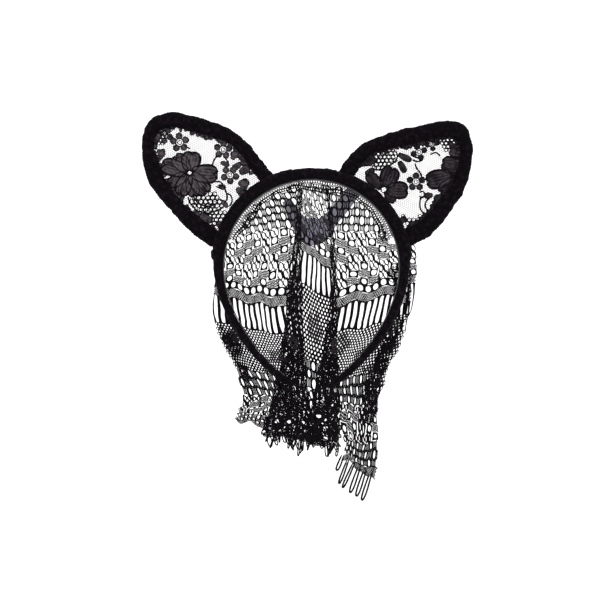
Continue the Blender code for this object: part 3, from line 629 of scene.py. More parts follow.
# Patterns of the ears' lace, in mm. Big flower: its middle, how far out its petals start, how
# far back each lies for its width, and (tip, half width) of each petal. Cut petals and buds:
# (root, tip, half width). Small flowers: (middle, reach, petals, turn). Leaves: (root, tip, half width).
# Vines: their points. Nets: (box that starts the net, outline, pitch, hole).
EAR_LACE = {
    "left": {
        "heart": (-86.6, 5.2), "petal_start": 0.08, "petal_set_back": -0.05,
        "petals": (((-93.5, -10.8), 6.2), ((-101.5, -3.5), 4.8), ((-106.5, 11.2), 6.8), ((-97, 17.5), 6),
                   ((-84.6, 20.2), 7.6), ((-66.5, 3.8), 7.4), ((-73.8, -9.6), 6.8), ((-83, -12), 5)),
        "cut_petals": (),
        "buds": (((-97.5, -0.5), (-105, -2), 2.6),),
        "flowers": (((-93.6, 26.7), 6.4, 5, 0.4), ((-57.9, 3.6), 6.2, 5, 1.0), ((-62.8, 21.5), 6.2, 5, 0.2),
                    ((-104.5, 32), 5.8, 5, 0.9)),
        "leaves": (((-56.5, 14.5), (-52.5, 22), 2.4), ((-57.5, 19), (-50, 17), 2.2),
                   ((-108, 14.5), (-105, 22), 2.2), ((-104, 17.5), (-109.5, 21), 2),
                   ((-79.5, -24.5), (-70.5, -29.5), 2.8), ((-72, 33), (-66, 29.5), 1.8),
                   ((-80, 36), (-74, 31.5), 1.9), ((-48.5, -8), (-47, 1), 3), ((-51, 5), (-44, 9), 3.2),
                   ((-53, -5.5), (-47.5, -12), 2.6), ((-64.5, 12.5), (-58.5, 10.5), 1.8),
                   ((-67.5, -30.5), (-61, -33), 2.6), ((-99, -12.5), (-95, -8), 1.9),
                   ((-110.5, 26), (-107.5, 34), 2), ((-66, -4.5), (-61, -5.5), 1.9),
                   ((-59.5, -19.5), (-63.5, -14.5), 1.8), ((-47, -18), (-55.5, -21.5), 2.6),
                   ((-44, -2), (-52, -2.5), 2.6), ((-60, -28.5), (-54, -24), 2.2),
                   ((-50, 12), (-56, 7.5), 2.4)),
        "vines": (((-67, -3.6), (-62.8, -4.3), (-60.7, -8.5), (-60, -13.5), (-62.5, -17)),
                  ((-68.5, -1.5), (-65.5, -1), (-63.2, -3.2), (-65.5, -5.4), (-68, -4.2)),
                  ((-60.5, -9), (-57, -11.5), (-56.5, -15.5), (-58.5, -19)),
                  ((-87.7, -11.4), (-86.5, -16), (-84, -19), (-81, -22), (-77.7, -22.7)),
                  ((-77.7, -22.7), (-73, -23.5), (-68.5, -22), (-64.5, -20.5), (-61.4, -17.8)),
                  ((-85, -9.5), (-82.5, -14), (-78.5, -17.5), (-73, -18.5), (-67, -16.5)),
                  ((-58.5, 9.5), (-59.5, 13), (-61.5, 16)), ((-86, 22), (-89.5, 24)),
                  ((-66.5, 18), (-70, 12), (-69, 6)), ((-98, 30.5), (-101.5, 31))),
        "nets": (((-90, -24, -60, -4),
                  ((-86, -8), (-80, -12), (-70, -8), (-64, -14), (-62, -18), (-70, -22),
                   (-78, -22.5), (-85, -18)), 3.3, 1.12),
                 ((-84, -36, -56, -22),
                  ((-85, -24), (-62, -19), (-58, -24), (-64, -34), (-72, -36)), 3, 1),
                 ((-114, 26, -98, 39),
                  ((-113, 24), (-106, 24), (-99, 36), (-104, 40), (-113, 38)), 2.8, 0.9))},
    "right": {
        "heart": (51.5, -6.9), "petal_start": 0.12, "petal_set_back": 0.0,
        "petals": (((39.5, 4.5), 4.6), ((57.8, 9.2), 7.4), ((68.6, -7.4), 6.8), ((59, -16), 3.4)),
        "cut_petals": (((107, 9), (92.5, 12), 6.6), ((99.5, 3.5), (81.5, -1.6), 7.4),
                       ((104, 2), (91, -9), 5), ((104.5, 18), (98, 21), 3.4)),
        "buds": (),
        "flowers": (((76.3, 19.9), 5.6, 4, 0.35), ((74.2, -1.3), 6.2, 5, 0.3), ((85.5, 25.5), 4.6, 4, 0.2)),
        "leaves": (((61.6, 18.3), (71, 13.8), 2.4), ((62.3, 13.4), (66.6, 5.4), 2.5),
                   ((94, -12), (87, -14), 3.2), ((92, -20), (85, -21), 3.2), ((82, -30), (76, -28.5), 2.6),
                   ((86, -10.8), (80, -11.4), 2.3), ((50, -20.5), (56, -24), 2.2),
                   ((100, -3), (97, -11), 3), ((45.5, 16), (40, 10.5), 2.2), ((50, 21), (56.5, 24.5), 2),
                   ((70.5, 25.5), (76, 28), 1.7), ((63.5, 24.5), (69, 22.5), 1.8),
                   ((79.5, 24), (77.5, 28.5), 1.5), ((87.5, -20), (81.5, -26), 2.6),
                   ((90, -14), (87, -19.5), 2.2), ((97, 26.5), (103, 22.5), 2),
                   ((76.5, -33.5), (69.5, -31), 2.6), ((62, -30.5), (67, -26.5), 2.4),
                   ((44.5, 8), (38.5, 3.5), 2.4)),
        "vines": (((60, 20.6), (61, 17), (60, 14.2), (58, 12), (55.7, 10.7)),
                  ((55.7, 10.7), (53.2, 9), (50.8, 7.8), (47, 7.2), (43, 7.8)),
                  ((73.5, 12.1), (74.2, 9.5), (75.6, 7.1), (77.4, 4.6), (78.5, 2.1)),
                  ((79.2, -11.4), (77.4, -13.2), (77, -15.6), (77, -18.5), (77.7, -21.3), (80.6, -24.1)),
                  ((76.5, -8.5), (79.2, -8.2), (80.4, -10.6), (78.6, -12.4), (76.3, -11.4)),
                  ((84.5, -12.5), (81.5, -15), (81, -19.5), (83.5, -22.5)),
                  ((71.5, 14.5), (75.5, 13.2), (79.5, 14.8)), ((72, 17), (76, 15.8), (80, 17.2)),
                  ((84, 18), (88.5, 19.5), (91.5, 17))),
        "nets": (((40, 6, 64, 26),
                  ((43, 7), (51, 7.6), (56, 10.6), (60, 14), (60.5, 21), (56, 25),
                   (44, 21), (40, 14)), 3, 1),
                 ((62, -36, 84, -22),
                  ((63, -25), (72, -27), (79, -24), (83, -27), (79, -33), (68, -37)), 3, 1),
                 ((80, 14, 106, 31),
                  ((92, 24), (104, 14), (107, 24), (103, 31), (84, 31), (84, 27)), 2.8, 0.9))}}


def left_hatching():
    """Nine short threads that fan out below the left big flower, in mm."""
    for t in np.arange(9) / 8.0:
        yield ((-85.0 + 18.0 * t, -9.8 - 6.0 * math.sin(math.pi * t) - 3.0 * t),
               (-87.2 + 25.0 * t, -12.5 - 11.5 * math.sin(math.pi * (0.15 + 0.75 * t)) + 1.5 * t))


def right_hatching():
    """Eight short threads across the inner corner of the right ear, in mm."""
    for t in np.arange(8) / 7.0:
        yield ((59.8 - 15.0 * t, 19.5 - 12.5 * t + 3.0 * math.sin(math.pi * t)),
               (57.0 - 12.0 * t, 24.0 - 8.0 * t + 1.5 * math.sin(math.pi * t)))


def petal(root, tip, width, ribs, rows, sides, notch=0.0, round_root=False):
    """Grid over one petal: along it t from 0 to 1, across it s from -1 to 1.

    Half width = width * 1.06 t^0.26 sqrt(1 - t^5), or width * sqrt(1 - (2t - 1)^2) with a
    round root; the tip draws back by notch * exp(-(s/0.3)^2). The height is a low dome
    with ribs along it. Returns flat points, heights and the lightness of each point.
    """
    along = tip - root
    normal = np.array((-along[1], along[0])) / np.hypot(*along)
    t = (0.5 - 0.5 * np.cos(np.pi * np.linspace(0.0, 1.0, rows)))[:, None]
    s = np.linspace(-1.0, 1.0, sides)[None, :]
    profile = 1.06 * t ** 0.26 * np.sqrt(np.maximum(1.0 - t ** 5, 0.0004))
    if round_root:
        profile = np.sqrt(np.maximum(1.0 - (2.0 * t - 1.0) ** 2, 0.0004))
    swell = width * np.maximum(profile, 0.03)
    reach = t * (1.0 - notch * np.exp(-(s / 0.3) ** 2))
    flat = root + along * reach[..., None] + normal * (swell * s)[..., None]
    edge = np.minimum(1.0 - np.abs(s), np.minimum(t, 1.0 - t) * 3.0)
    fan = np.cos(np.pi * ribs * s)
    rise = 0.10 + 0.12 * np.clip(edge * 3.0, 0.0, 1.0) + 0.05 * fan
    cross = 0.5 + 0.5 * np.cos(t * 26.0 + 3.0 * s * s)
    mottle = soft_noise(flat, 1.6 * MM, 91)
    tone = 0.27 + 0.10 * fan + 0.10 * cross * (1.0 - t) + 0.16 * mottle - 0.35 * (edge < 0.16)
    return flat, rise * MM, np.clip(tone, 0.0, 1.0)


def solid_patch(flat, rise):
    """Close a front and a mirrored back grid into one patch; they lie 0.04 mm apart at its rim."""
    rows, sides = rise.shape
    height = 0.02 * MM + np.pad(rise[1:-1, 1:-1], 1)
    index = np.arange(rows * sides).reshape(rows, sides)
    border = np.concatenate((index[0, :-1], index[:-1, -1], index[-1, :0:-1], index[:0:-1, 0]))
    after = np.roll(border, -1)
    sewn = np.stack((border, after, after + rise.size, border + rise.size), axis=1)
    faces = grid_faces(rows, sides)
    faces = np.concatenate((faces, faces[:, ::-1] + rise.size, sewn[:, ::-1]))
    return np.stack((upright(flat, -height), upright(flat, height))), faces


class LaceWork:
    """Gathers the patches, cords and nets of one lace panel; places are in mm."""

    def __init__(self, fill):
        self.parts = []
        self.tones = []
        self.fill = fill

    def add(self, points, faces, tone):
        """Keep one closed shape with its tone, one number or one for each point."""
        self.parts.append(facing_out(points, faces))
        self.tones.append(np.broadcast_to(tone, len(self.parts[-1][0])))

    def add_petal(self, root, tip, width, depth=0.0, **shape):
        """One ribbed petal with a corded outline, set back by a depth."""
        flat, rise, tone = petal(np.array(root) * MM, np.array(tip) * MM, width * MM, **shape)
        patch, faces = solid_patch(flat, rise)
        self.add(patch + Y_AXIS * depth * MM, faces, np.tile(tone.ravel() * self.fill, 2))
        half = flat.shape[1] // 2
        border = np.concatenate((flat[:1, half], flat[1:-1, -1], flat[-1:, half], flat[-2:0:-1, 0],
                                 flat[:1, half]))
        cord = 0.52 if width > 4.0 else 0.32
        self.add_cord(border / MM, cord, tone=0.0, count=2 * len(border), depth=depth)

    def add_cord(self, line, radius, tone=0.05, count=None, depth=0.0):
        """A round cord through flat points."""
        line = smooth_line(line, count or max(8, 4 * len(line)))
        self.add(*threads(upright(line, depth)[None] * MM, radius * MM, 6), tone)

    def add_circle(self, centre, radius, cord, count):
        """A round cord laid in a circle of this many points."""
        turn = np.linspace(0.0, 2.0 * np.pi, count)
        self.add_cord(centre + np.stack((np.cos(turn), np.sin(turn)), axis=1) * radius, cord)

    def add_flower(self, centre, reach, petals, turn):
        """A flower of equal round petals about two small rings."""
        for number in range(petals):
            angle = turn + 2.0 * math.pi * number / petals
            way = np.array((math.cos(angle), math.sin(angle)))
            self.add_petal(centre + way * reach * 0.36, centre + way * reach * 1.05, reach * 0.35, ribs=2,
                           rows=8, sides=9, round_root=True)
        self.add_circle(centre, reach * 0.22, 0.30, 14)
        self.add_circle(centre, reach * 0.44, 0.45, 14)

    def add_rings(self, centres, pitch, hole, tone, height, start=0.5):
        """Six-sided net cells a pitch apart: flat rings to a hole, with a raised middle line."""
        way = np.stack(circle(6, start), axis=-1)
        outer = centres[:, None, :] + way * pitch * 0.577
        inner = centres[:, None, :] + way * hole
        middle = (outer + inner) / 2.0
        flat = np.stack((outer, middle, inner, middle), axis=1)
        depth = np.array((0.0, -height, 0.0, height))[:, None]
        self.add(upright(flat, depth) * MM, ring_faces(len(centres), 4, 6), tone)


def hex_centres(box, pitch):
    """Centres of a staggered net over a box of (x0, z0, x1, z1) in mm, pitch apart."""
    rise = pitch * math.sqrt(3.0) / 2.0
    column, row = np.meshgrid(np.arange(box[0], box[2], pitch), np.arange(box[1], box[3], rise))
    column = column + (np.arange(column.shape[0]) % 2)[:, None] * pitch / 2.0
    return np.stack((column.ravel(), row.ravel()), axis=1)


def add_motifs(work, side):
    """Flowers, leaves, vines, hatching and coarser nets of one ear."""
    lace = EAR_LACE[side]
    heart = np.array(lace["heart"])
    for tip, width in lace["petals"]:
        work.add_petal(heart + (np.array(tip) - heart) * lace["petal_start"], tip, width,
                       depth=lace["petal_set_back"] * width, ribs=6, rows=16, sides=23, notch=0.12)
    work.add_circle(heart, 2.1, 0.4, 16)
    for root, tip, width in lace["cut_petals"]:
        work.add_petal(root, tip, width, ribs=6, rows=16, sides=23, notch=0.1)
    for root, tip, width in lace["buds"]:
        work.add_petal(root, tip, width, ribs=3, rows=10, sides=13, round_root=True)
    for centre, reach, petals, turn in lace["flowers"]:
        work.add_flower(np.array(centre), reach, petals, turn)
    for root, tip, width in lace["leaves"]:
        work.add_petal(root, tip, width, ribs=3, rows=9, sides=11)
    for line in lace["vines"]:
        work.add_cord(line, 0.62)
    for line in left_hatching() if side == "left" else right_hatching():
        work.add_cord(line, 0.3, count=6)
    for box, outline, pitch, hole in lace["nets"]:
        centres = hex_centres(box, pitch)
        work.add_rings(centres[inside_outline(centres, np.array(outline))], pitch, hole, 0.05, 0.12)


def add_edge_leaves(work, outline, seed):
    """Cut-off leaves and buds of the lace that peep out from under the rim."""
    rng = np.random.default_rng(seed)
    middle = outline.mean(axis=0)
    for place in smooth_line(outline[4:216], 74)[2:-2]:
        inward = (middle - place) / np.hypot(*(middle - place))
        sway = np.array((-inward[1], inward[0])) * rng.uniform(-0.9, 0.9)
        way = (inward + sway) / np.hypot(*(inward + sway))
        root = place + inward * rng.uniform(0.6, 2.2)
        tip = root + way * rng.uniform(2.6, 5.4)
        work.add_petal(root, tip, rng.uniform(0.8, 1.9), ribs=2, rows=7, sides=9, round_root=True)


def build_ear_lace(side):
    """Lace panel of an ear: a very fine net under ribbed petals with corded outlines."""
    fill, seed, turn = (1.45, 5, NET_TURN) if side == "left" else (0.85, 9, -NET_TURN)
    work = LaceWork(fill)
    outline = ear_opening(side)
    low, high = outline.min(axis=0), outline.max(axis=0)
    reach = np.abs(np.concatenate((low, high))).max() + 20.0
    centres = hex_centres((-reach, -reach, reach, reach), NET_PITCH)
    way = np.array((math.cos(turn), math.sin(turn)))
    centres = np.stack((centres @ (way * (1.0, -1.0)), centres @ way[::-1]), axis=1)
    centres = centres[inside_outline(centres, outline)]
    hole = NET_PITCH * 0.577 - NET_THREAD
    work.add_rings(centres, NET_PITCH, hole, 0.12, 0.05, start=0.5 + turn / (math.pi / 3.0))
    add_edge_leaves(work, outline, seed)
    add_motifs(work, side)
    points, faces = joined(work.parts)
    points[:, 1] += 0.35 * MM * soft_noise(points[:, [0, 2]], 14.0 * MM, 31)
    piece = make_piece(side + "_ear_lace_panel", points, faces, YARN, shade=np.concatenate(work.tones))
    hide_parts(side + "_ear_lace")
    blend_ear(piece)


# ---------------------------------------------------------------- veil

def drape_grid():
    """The veil's surface on a fine grid: x, y and z in mm at every half mm of flat cloth.

    Each column's line is a smooth curve down the drops, and each row is a smooth curve
    across the columns. Soft ripples deepen towards the hem, and soft noise crumples it.
    """
    across = np.arange(0.0, VEIL_WIDTH + GRID_STEP / 2, GRID_STEP)
    down = np.arange(0.0, VEIL_DROP + GRID_STEP / 2, GRID_STEP)
    knots, xs, zs, ys = zip(*DRAPE)
    x, z = (spline(DROPS, np.array(values, float).T, down).T for values in (xs, zs))
    y = np.repeat(np.array(ys)[:, None], len(down), axis=1)
    grid = np.stack([spline(knots, field, across) for field in (x, y, z)], axis=-1)
    a, v = np.meshgrid(across, down, indexing="ij")
    flat = np.stack((a, v), axis=-1)
    loose = np.clip((v - 60.0) / 120.0, 0.0, 1.0)
    grid[..., 1] += loose * (1.6 + 1.6 * np.sin(2.0 * np.pi * a / 26.0 + v / 40.0))
    grid[..., 1] += 0.5 * soft_noise(flat, 11.0, 41) * (0.3 + loose)
    grid[..., 0] += 1.1 * soft_noise(flat, 13.0, 42) * (0.45 + loose) + 0.5 * soft_noise(flat, 5.0, 44)
    grid[..., 2] += 1.2 * soft_noise(flat, 12.0, 43) * (0.45 + loose) + 0.5 * soft_noise(flat, 5.5, 45)
    grid[..., 2] -= 1.2 * np.exp(-((v - 92.0) / 22.0) ** 4) * np.sin(2.0 * np.pi * a / 17.5)
    hem = np.clip((v - 172.0) / 33.0, 0.0, 1.0) ** 2
    notch = 4.5 * np.exp(-((a - 112.0) / 3.5) ** 2) - 4.0 * np.clip((a - 164.0) / 14.0, 0.0, 1.0)
    grid[..., 2] += hem * (3.2 * soft_noise(flat * (1.0, 0.3), 6.5, 46) * (a < 150.0) + notch)
    grid[..., 0] += hem * 1.5 * soft_noise(flat * (1.0, 0.3), 6.0, 47)
    return grid, unit(np.cross(np.gradient(grid, axis=1), np.gradient(grid, axis=0)))


DRAPE_POINTS, DRAPE_NORMALS = drape_grid()


def slit_opening(flat, right_side):
    """Shift of the cloth beside the slit, in mm: the two edges part below the slit's top.

    x moves by 1.7 f g each way and z by 2.5 f g up or 11 f g down, where f eases from 0 to 1
    down the slit and g falls off with the distance from it.
    """
    ease = np.clip((flat[..., 1] - SLIT_TOP) / SLIT_EASE, 0.0, 1.0)
    near = np.exp(-np.abs(flat[..., 0] - SLIT_ACROSS) / 10.0) * ease * ease * (3.0 - 2.0 * ease)
    way = 1.0 if right_side else -1.0
    return np.stack((1.7 * way * near, 0.0 * near, (-6.75 * way - 4.25) * near), axis=-1)


def sample(field, flat):
    """Values of a grid field at flat (across, down) places, by the four nearest points."""
    across = np.clip(flat[..., 0] / GRID_STEP, 0.0, field.shape[0] - 1.001)
    down = np.clip(flat[..., 1] / GRID_STEP, 0.0, field.shape[1] - 1.001)
    i, j = across.astype(int), down.astype(int)
    s, t = (across - i)[..., None], (down - j)[..., None]
    return ((field[i, j] * (1 - s) + field[i + 1, j] * s) * (1 - t)
            + (field[i, j + 1] * (1 - s) + field[i + 1, j + 1] * s) * t)


class Cells:
    """Rows of lace cells on the flat cloth, each a small closed ring of thread."""

    def __init__(self):
        self.batches = []

    def add(self, centre, half, thread, power, sides, rings=4, height=0.16, tone=0.1, start=0.0, tilt=0.0,
            lean=0.0, wave=None):
        """Add cells by centre and half size in mm, arrays of (cells, 2).

        Outer outline = centre + half * (c, s) / max(|c|, |s|). Hole = centre + (half - thread)
        * sign|c|^(2/power), sign|s|^(2/power). The wave bends the rows so that wide and
        narrow cells lock together: v moves by d cos(q) (2t - 1) and a by e sin(q) sin(pi t).
        """
        c, s = circle(sides, start)
        oval = signed_power(np.stack((c, s), axis=-1), 2.0 / power)
        lean = np.broadcast_to(lean, (len(centre),))[:, None]
        outer = centre[:, None, :] + half[:, None, :] * square(c, s)
        outer[..., 1] += lean * (outer[..., 0] - centre[:, None, 0])
        uneven = 1.0 + 0.09 * soft_noise(centre, 1.3, 61)[:, None, None]
        room = np.maximum((half[:, None, :] - thread[:, None, None]) * uneven, 0.12 * half[:, None, :])
        hole = centre[:, None, :] + room * oval
        hole[..., 0] += tilt * (hole[..., 1] - centre[:, None, 1])
        hole[..., 1] += lean * (hole[..., 0] - centre[:, None, 0])
        middle = (outer + hole) / 2.0
        flat = np.stack((outer, middle, hole, middle)[:rings], axis=1)
        lift = np.array((0.0, height, 0.0, -height) if rings == 4 else (0.0, height, -0.3 * height))
        if wave is not None:
            row_start, row_height, phase, swing, spread = wave
            t = (flat[..., 1] - row_start[:, None, None]) / row_height
            q = 2.0 * np.pi * flat[..., 0] / PITCH + phase[:, None, None]
            flat = np.stack((flat[..., 0] + spread * np.sin(q) * np.sin(np.pi * np.clip(t, 0, 1)),
                             flat[..., 1] + swing * np.cos(q) * (2.0 * t - 1.0)), axis=-1)
        keep = self.kept(centre)
        self.batches.append((centre[keep], flat[keep], lift[:, None, None], tone))

    def kept(self, centre):
        """Cells that show: those behind the crown's upper edge are left to the border lace."""
        place = sample(DRAPE_POINTS, centre) * MM
        x, z = place[:, 0], place[:, 2] + CROWN_RADIUS
        angle = np.degrees(np.arctan2(np.abs(x), z))
        return (np.hypot(x, z) < SELVAGE_INNER + 1.0 * MM) | (angle >= SELVAGE_ANGLE)

    def mesh(self, first, last, top=0.0, foot=VEIL_DROP, shift=None):
        """The cells whose centre lies between two places across the flat cloth, from a
        distance down it; a shift function moves the hanging points."""
        parts, tones = [], []
        for centre, flat, lift, tone in self.batches:
            inside = (centre[:, 0] >= first) & (centre[:, 0] < last)
            inside &= (centre[:, 1] >= top) & (centre[:, 1] < foot)
            if not inside.any():
                continue
            spot = flat[inside]
            points = (sample(DRAPE_POINTS, spot) + sample(DRAPE_NORMALS, spot) * lift) * MM
            points = points + slit_opening(spot, first >= SLIT_ACROSS) * MM
            if shift is not None:
                points = shift(points)
            parts.append(facing_out(points, ring_faces(len(spot), spot.shape[1], spot.shape[2])))
            tones.append(np.full(len(parts[-1][0]), tone))
        return *joined(parts), np.concatenate(tones)


def boldness(centre):
    """Thread width factor: bolder where the folds lie over each other, in the gathered
    bottom and along the crumpled side edges."""
    a, v = centre[:, 0], centre[:, 1]
    reach = np.interp(v, (0.0, 45.0, 90.0, 110.0, 140.0, 205.0), (1.0, 6.0, 12.0, 15.0, 20.0, 30.0))
    fold = (a > FIRST_PLEAT[0] - reach) & (a < FIRST_PLEAT[1] + reach)
    reach = np.interp(v, (0.0, 90.0, 110.0, 140.0, 205.0), (1.0, 4.0, 7.0, 14.0, 18.0))
    fold |= (a > SECOND_PLEAT[0] - reach) & (a < SECOND_PLEAT[1] + reach)
    side = ((a < 17.0) | (a > 173.0)) & (v > 60.0)
    bottom = np.clip((v - 138.0) / 15.0, 0.0, 1.0) * (a < 150.0)
    gathered = np.interp(v, (0.0, 22.0, 45.0, 125.0, 150.0), (-0.35, -0.30, -0.15, -0.15, -0.16))
    lower = np.clip((v - 138.0) / 6.0, 0.0, 1.0) * np.where(a > 150.0, 0.95, np.where(a < 45.0, 0.65, 0.3))
    return 1.18 + gathered * fold + 0.15 * bottom * ~fold + 0.12 * side + lower


def oval_rows(cells, first_down, last_down, tilt_left=0.26):
    """Staggered rows of ovals with three thin slits between neighbours."""
    rows = int(round((last_down - first_down) / ROW))
    height = (last_down - first_down) / rows
    j, i = counted(rows, 33)
    start = first_down + j * height
    phase = np.pi * (j % 2)
    slits = [(offset, 0.17, 3.0, 8, 0.29) for offset in (0.33, 0.5, 0.67)]
    for offset, width, power, sides, thread in [(0.0, 0.49, 2.2, 16, 0.46)] + slits:
        a = (i - 1 + offset + 0.5 * (j % 2)) * PITCH
        good = (a > 0.4) & (a < VEIL_WIDTH - 0.4)
        for group, tilt in ((good & (a < 75.0), tilt_left), (good & (a >= 75.0), 0.0)):
            centre = np.stack((a, start + height / 2.0), axis=1)[group]
            half = np.full(centre.shape, (width * PITCH / 2.0, height / 2.0))
            cells.add(centre, half, thread * boldness(centre), power, sides, tilt=tilt,
                      wave=(start[group], height, phase[group], 0.55, 0.25))


def small_grid(cells, a0, a1, v0, v1, across, down, thread, tone, power, lean=0.0, swing=0.0):
    """Fill many boxes (arrays of sides) with a staggered grid of small cells, across by down."""
    i, j = (numbers[None, :] for numbers in counted(across, down))
    width = ((a1 - a0) / across)[:, None]
    drop = ((v1 - v0) / down)[:, None]
    a = a0[:, None] + (i + 0.5) * width
    v = v0[:, None] + (j + 0.5) * drop + np.reshape(lean, (-1, 1)) * (a - (a0 + a1)[:, None] / 2.0)
    centre = np.stack((a.ravel(), v.ravel()), axis=1)
    half = np.stack([np.broadcast_to(side / 2.0, a.shape).ravel() for side in (width, drop)], axis=1)
    row = np.round(centre[:, 1] / (half[:, 1] * 2.0)).astype(int)
    centre[:, 0] += np.where(row % 2 == 0, 0.0, half[:, 0])
    centre[:, 1] += swing * np.sin(centre[:, 0] * 2.0 * np.pi / 12.0)
    inside = (centre[:, 0] > 0.2) & (centre[:, 0] < VEIL_WIDTH - 0.2)
    thread = thread * (0.55 + 0.45 * boldness(centre))[inside]
    cells.add(centre[inside], half[inside], thread, power, 4, rings=3, height=0.12, tone=tone, start=0.5)


def motif_rows(cells, first_down, last_down, shift):
    """Clusters of dense squares round open holes, with clear patches of fine slanted threads.

    A cell belongs to a cluster where |across| / 2.1 + |down| / 2.6 is below 0.92, counted in
    cells from the cluster's middle; clusters stand every 4 columns and in staggered rows.
    """
    rows = int(round((last_down - first_down) / ROW))
    height = (last_down - first_down) / rows
    j, i = counted(rows, 31)
    a = (i + 0.5) * PITCH
    v = first_down + (j + 0.5) * height
    across = np.abs((i - shift - 2.0 * (j // 4)) % 4.0 - 2.0)
    down = np.abs(j % 4 - 1.5)
    cluster = across / 2.1 + down / 2.6 < 0.92
    dense = cluster & ((i + j) % 2 == 0)
    open_hole = cluster & ~dense
    clear = ~cluster
    slant = np.where(a < 75.0, -0.24, np.where(a > 128.0, 0.24, 0.1))
    gap = 0.26
    wide, tall = 0.62 * PITCH, height / 2
    box = (a[dense] - wide, a[dense] + wide, v[dense] - tall + gap, v[dense] + tall - gap)
    small_grid(cells, *box, 8, 6, 0.22, 0.10, 1.9, lean=slant[dense])
    centre = np.stack((a, v), axis=1)
    hole = centre[open_hole]
    thread = 0.72 * np.minimum(boldness(hole), 1.8)
    size = np.full(hole.shape, (0.40 * PITCH, tall))
    cells.add(hole, size, thread, 2.1, 16, tone=0.10, lean=slant[open_hole])
    wave = (v[clear] - tall, height, np.pi * (j[clear] % 2), 0.75, 0.3)
    for part in (-0.5, 0.5):
        strip = centre[clear] + part * PITCH / 2.0 * np.stack((np.ones(clear.sum()), slant[clear]), axis=1)
        cells.add(strip, np.full(strip.shape, (PITCH / 4.0, tall)), 0.56 * boldness(strip), 2.2, 12, rings=3,
                  tilt=0.2, tone=0.05, lean=slant[clear], wave=wave)


def single_row(cells, first_down, last_down, count, bold, power, sides, **looks):
    """One row of equal cells side by side, with threads no bolder than a limit."""
    thread, most = bold
    a = (np.arange(count) + 0.5) * VEIL_WIDTH / count
    centre = np.stack((a, np.full(count, (first_down + last_down) / 2.0)), axis=1)
    half = np.full((count, 2), (VEIL_WIDTH / count / 2.0, (last_down - first_down) / 2.0))
    cells.add(centre, half, thread * np.minimum(boldness(centre), most), power, sides, **looks)


def dense_band(cells, first_down, last_down, thread=0.30, size=1.15):
    """A band of closely worked cloth: very small cells with thick threads, and an edge that
    swings by 0.8 sin(2 pi a / 12) mm."""
    down = int(round((last_down - first_down) / size))
    box = (np.array((side,)) for side in (0.0, VEIL_WIDTH, first_down, last_down))
    small_grid(cells, *box, int(VEIL_WIDTH / size), down, thread, 0.15, 1.7, swing=0.8)


def flowered_net(cells, first_down, last_down, size=1.95):
    """Fine net with solid five-petal flowers.

    A cell is part of a flower where its distance from the flower's middle is below
    reach * (0.55 + 0.45 |cos(2.5 q)|); those cells have almost no hole.
    """
    across, down = int(VEIL_WIDTH / size), int(round((last_down - first_down) / (size * 0.9)))
    width, drop = VEIL_WIDTH / across, (last_down - first_down) / down
    i, j = counted(across, down)
    a = (i + 0.5 + 0.5 * (j % 2)) * width
    v = first_down + (j + 0.5) * drop
    centre = np.stack((a, v), axis=1)
    solid = np.zeros(len(a), bool)
    for flower_a, flower_v, reach in VEIL_FLOWERS:
        distance = np.hypot(a - flower_a, v - flower_v)
        lobes = 0.55 + 0.45 * np.abs(np.cos(2.5 * np.arctan2(v - flower_v, a - flower_a)))
        solid |= (distance < reach * lobes) & (distance > reach * 0.2)
    inside = (a > 0.3) & (a < VEIL_WIDTH - 0.3)
    for group, thread, tone in ((inside & ~solid, 0.41, 0.05), (inside & solid, 0.60, 0.25)):
        net = centre[group]
        thread = thread * np.minimum(boldness(net), 1.3)
        cells.add(net, np.full(net.shape, (width / 2.0, drop / 2.0 * 1.27)), thread, 2.0, 6, rings=3,
                  height=0.12, tone=tone, start=0.5)


def hang_lace(name, lace, flat, share, rests_on, *stands_for):
    """Make one sheet of the veil, hide the parts it stands for and bake its placement."""
    points, faces, tone = lace
    piece = make_piece(name, points, faces, YARN, shade=tone)
    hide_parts(*stands_for)
    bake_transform(piece)


def build_veil():
    """The veil's lace: rows of different cells laid on the flat cloth, then draped."""
    cells = Cells()
    oval_rows(cells, 4.0, 42.0)
    motif_rows(cells, 42.0, 80.0, 1.0)
    single_row(cells, 79.6, 85.4, 40, (0.70, 9.0), 2.2, 16, tone=0.1)
    dense_band(cells, 85.2, 92.0)
    single_row(cells, 91.6, 112.4, 50, (0.72, 1.9), 4.5, 32, tone=0.05, tilt=0.05)
    flowered_net(cells, 112.0, 143.0)
    oval_rows(cells, 142.6, 158.8, tilt_left=0.1)
    motif_rows(cells, 158.8, 180.4, 0.0)
    oval_rows(cells, 180.4, 196.6, tilt_left=0.1)
    dense_band(cells, 196.0, 204.0, thread=0.28, size=1.2)
    for name, (first, last) in VEIL_SPLITS.items():
        flat = ((last - first) * MM, VEIL_DROP * MM)
        lace = cells.mesh(first, last)
        hang_lace(name, lace, flat, VEIL_SHARE, "crown_edge_lace", "veil_yoke", "veil_drop")
    for name, (first, last, top, foot, panel) in SIDE_LAYERS.items():
        flat = (FOLD_FULLNESS * (last - first) * MM, (foot - top) * MM)
        lace = cells.mesh(first, last, top, foot, folded_side)
        hang_lace(name, lace, flat, FOLD_SHARE, panel, "veil_drop")


def folded_side(points):
    """The outer edge's folded layer: the cloth drawn in by 4 percent, 2 mm back and
    2.5 mm (left) or 13 mm (right) down, crumpled by soft noise."""
    x, y, z = (points[..., axis] for axis in range(3))
    lower = np.where(x > 0.0, 13.0, 2.5) * MM
    return np.stack((x * 0.96 + 1.2 * MM * soft_noise(points, 9.0 * MM, 74),
                     y + 2.0 * MM + 0.6 * MM * soft_noise(points, 8.0 * MM, 75),
                     z - lower + 2.0 * MM * soft_noise(points, 10.0 * MM, 76)), axis=-1)


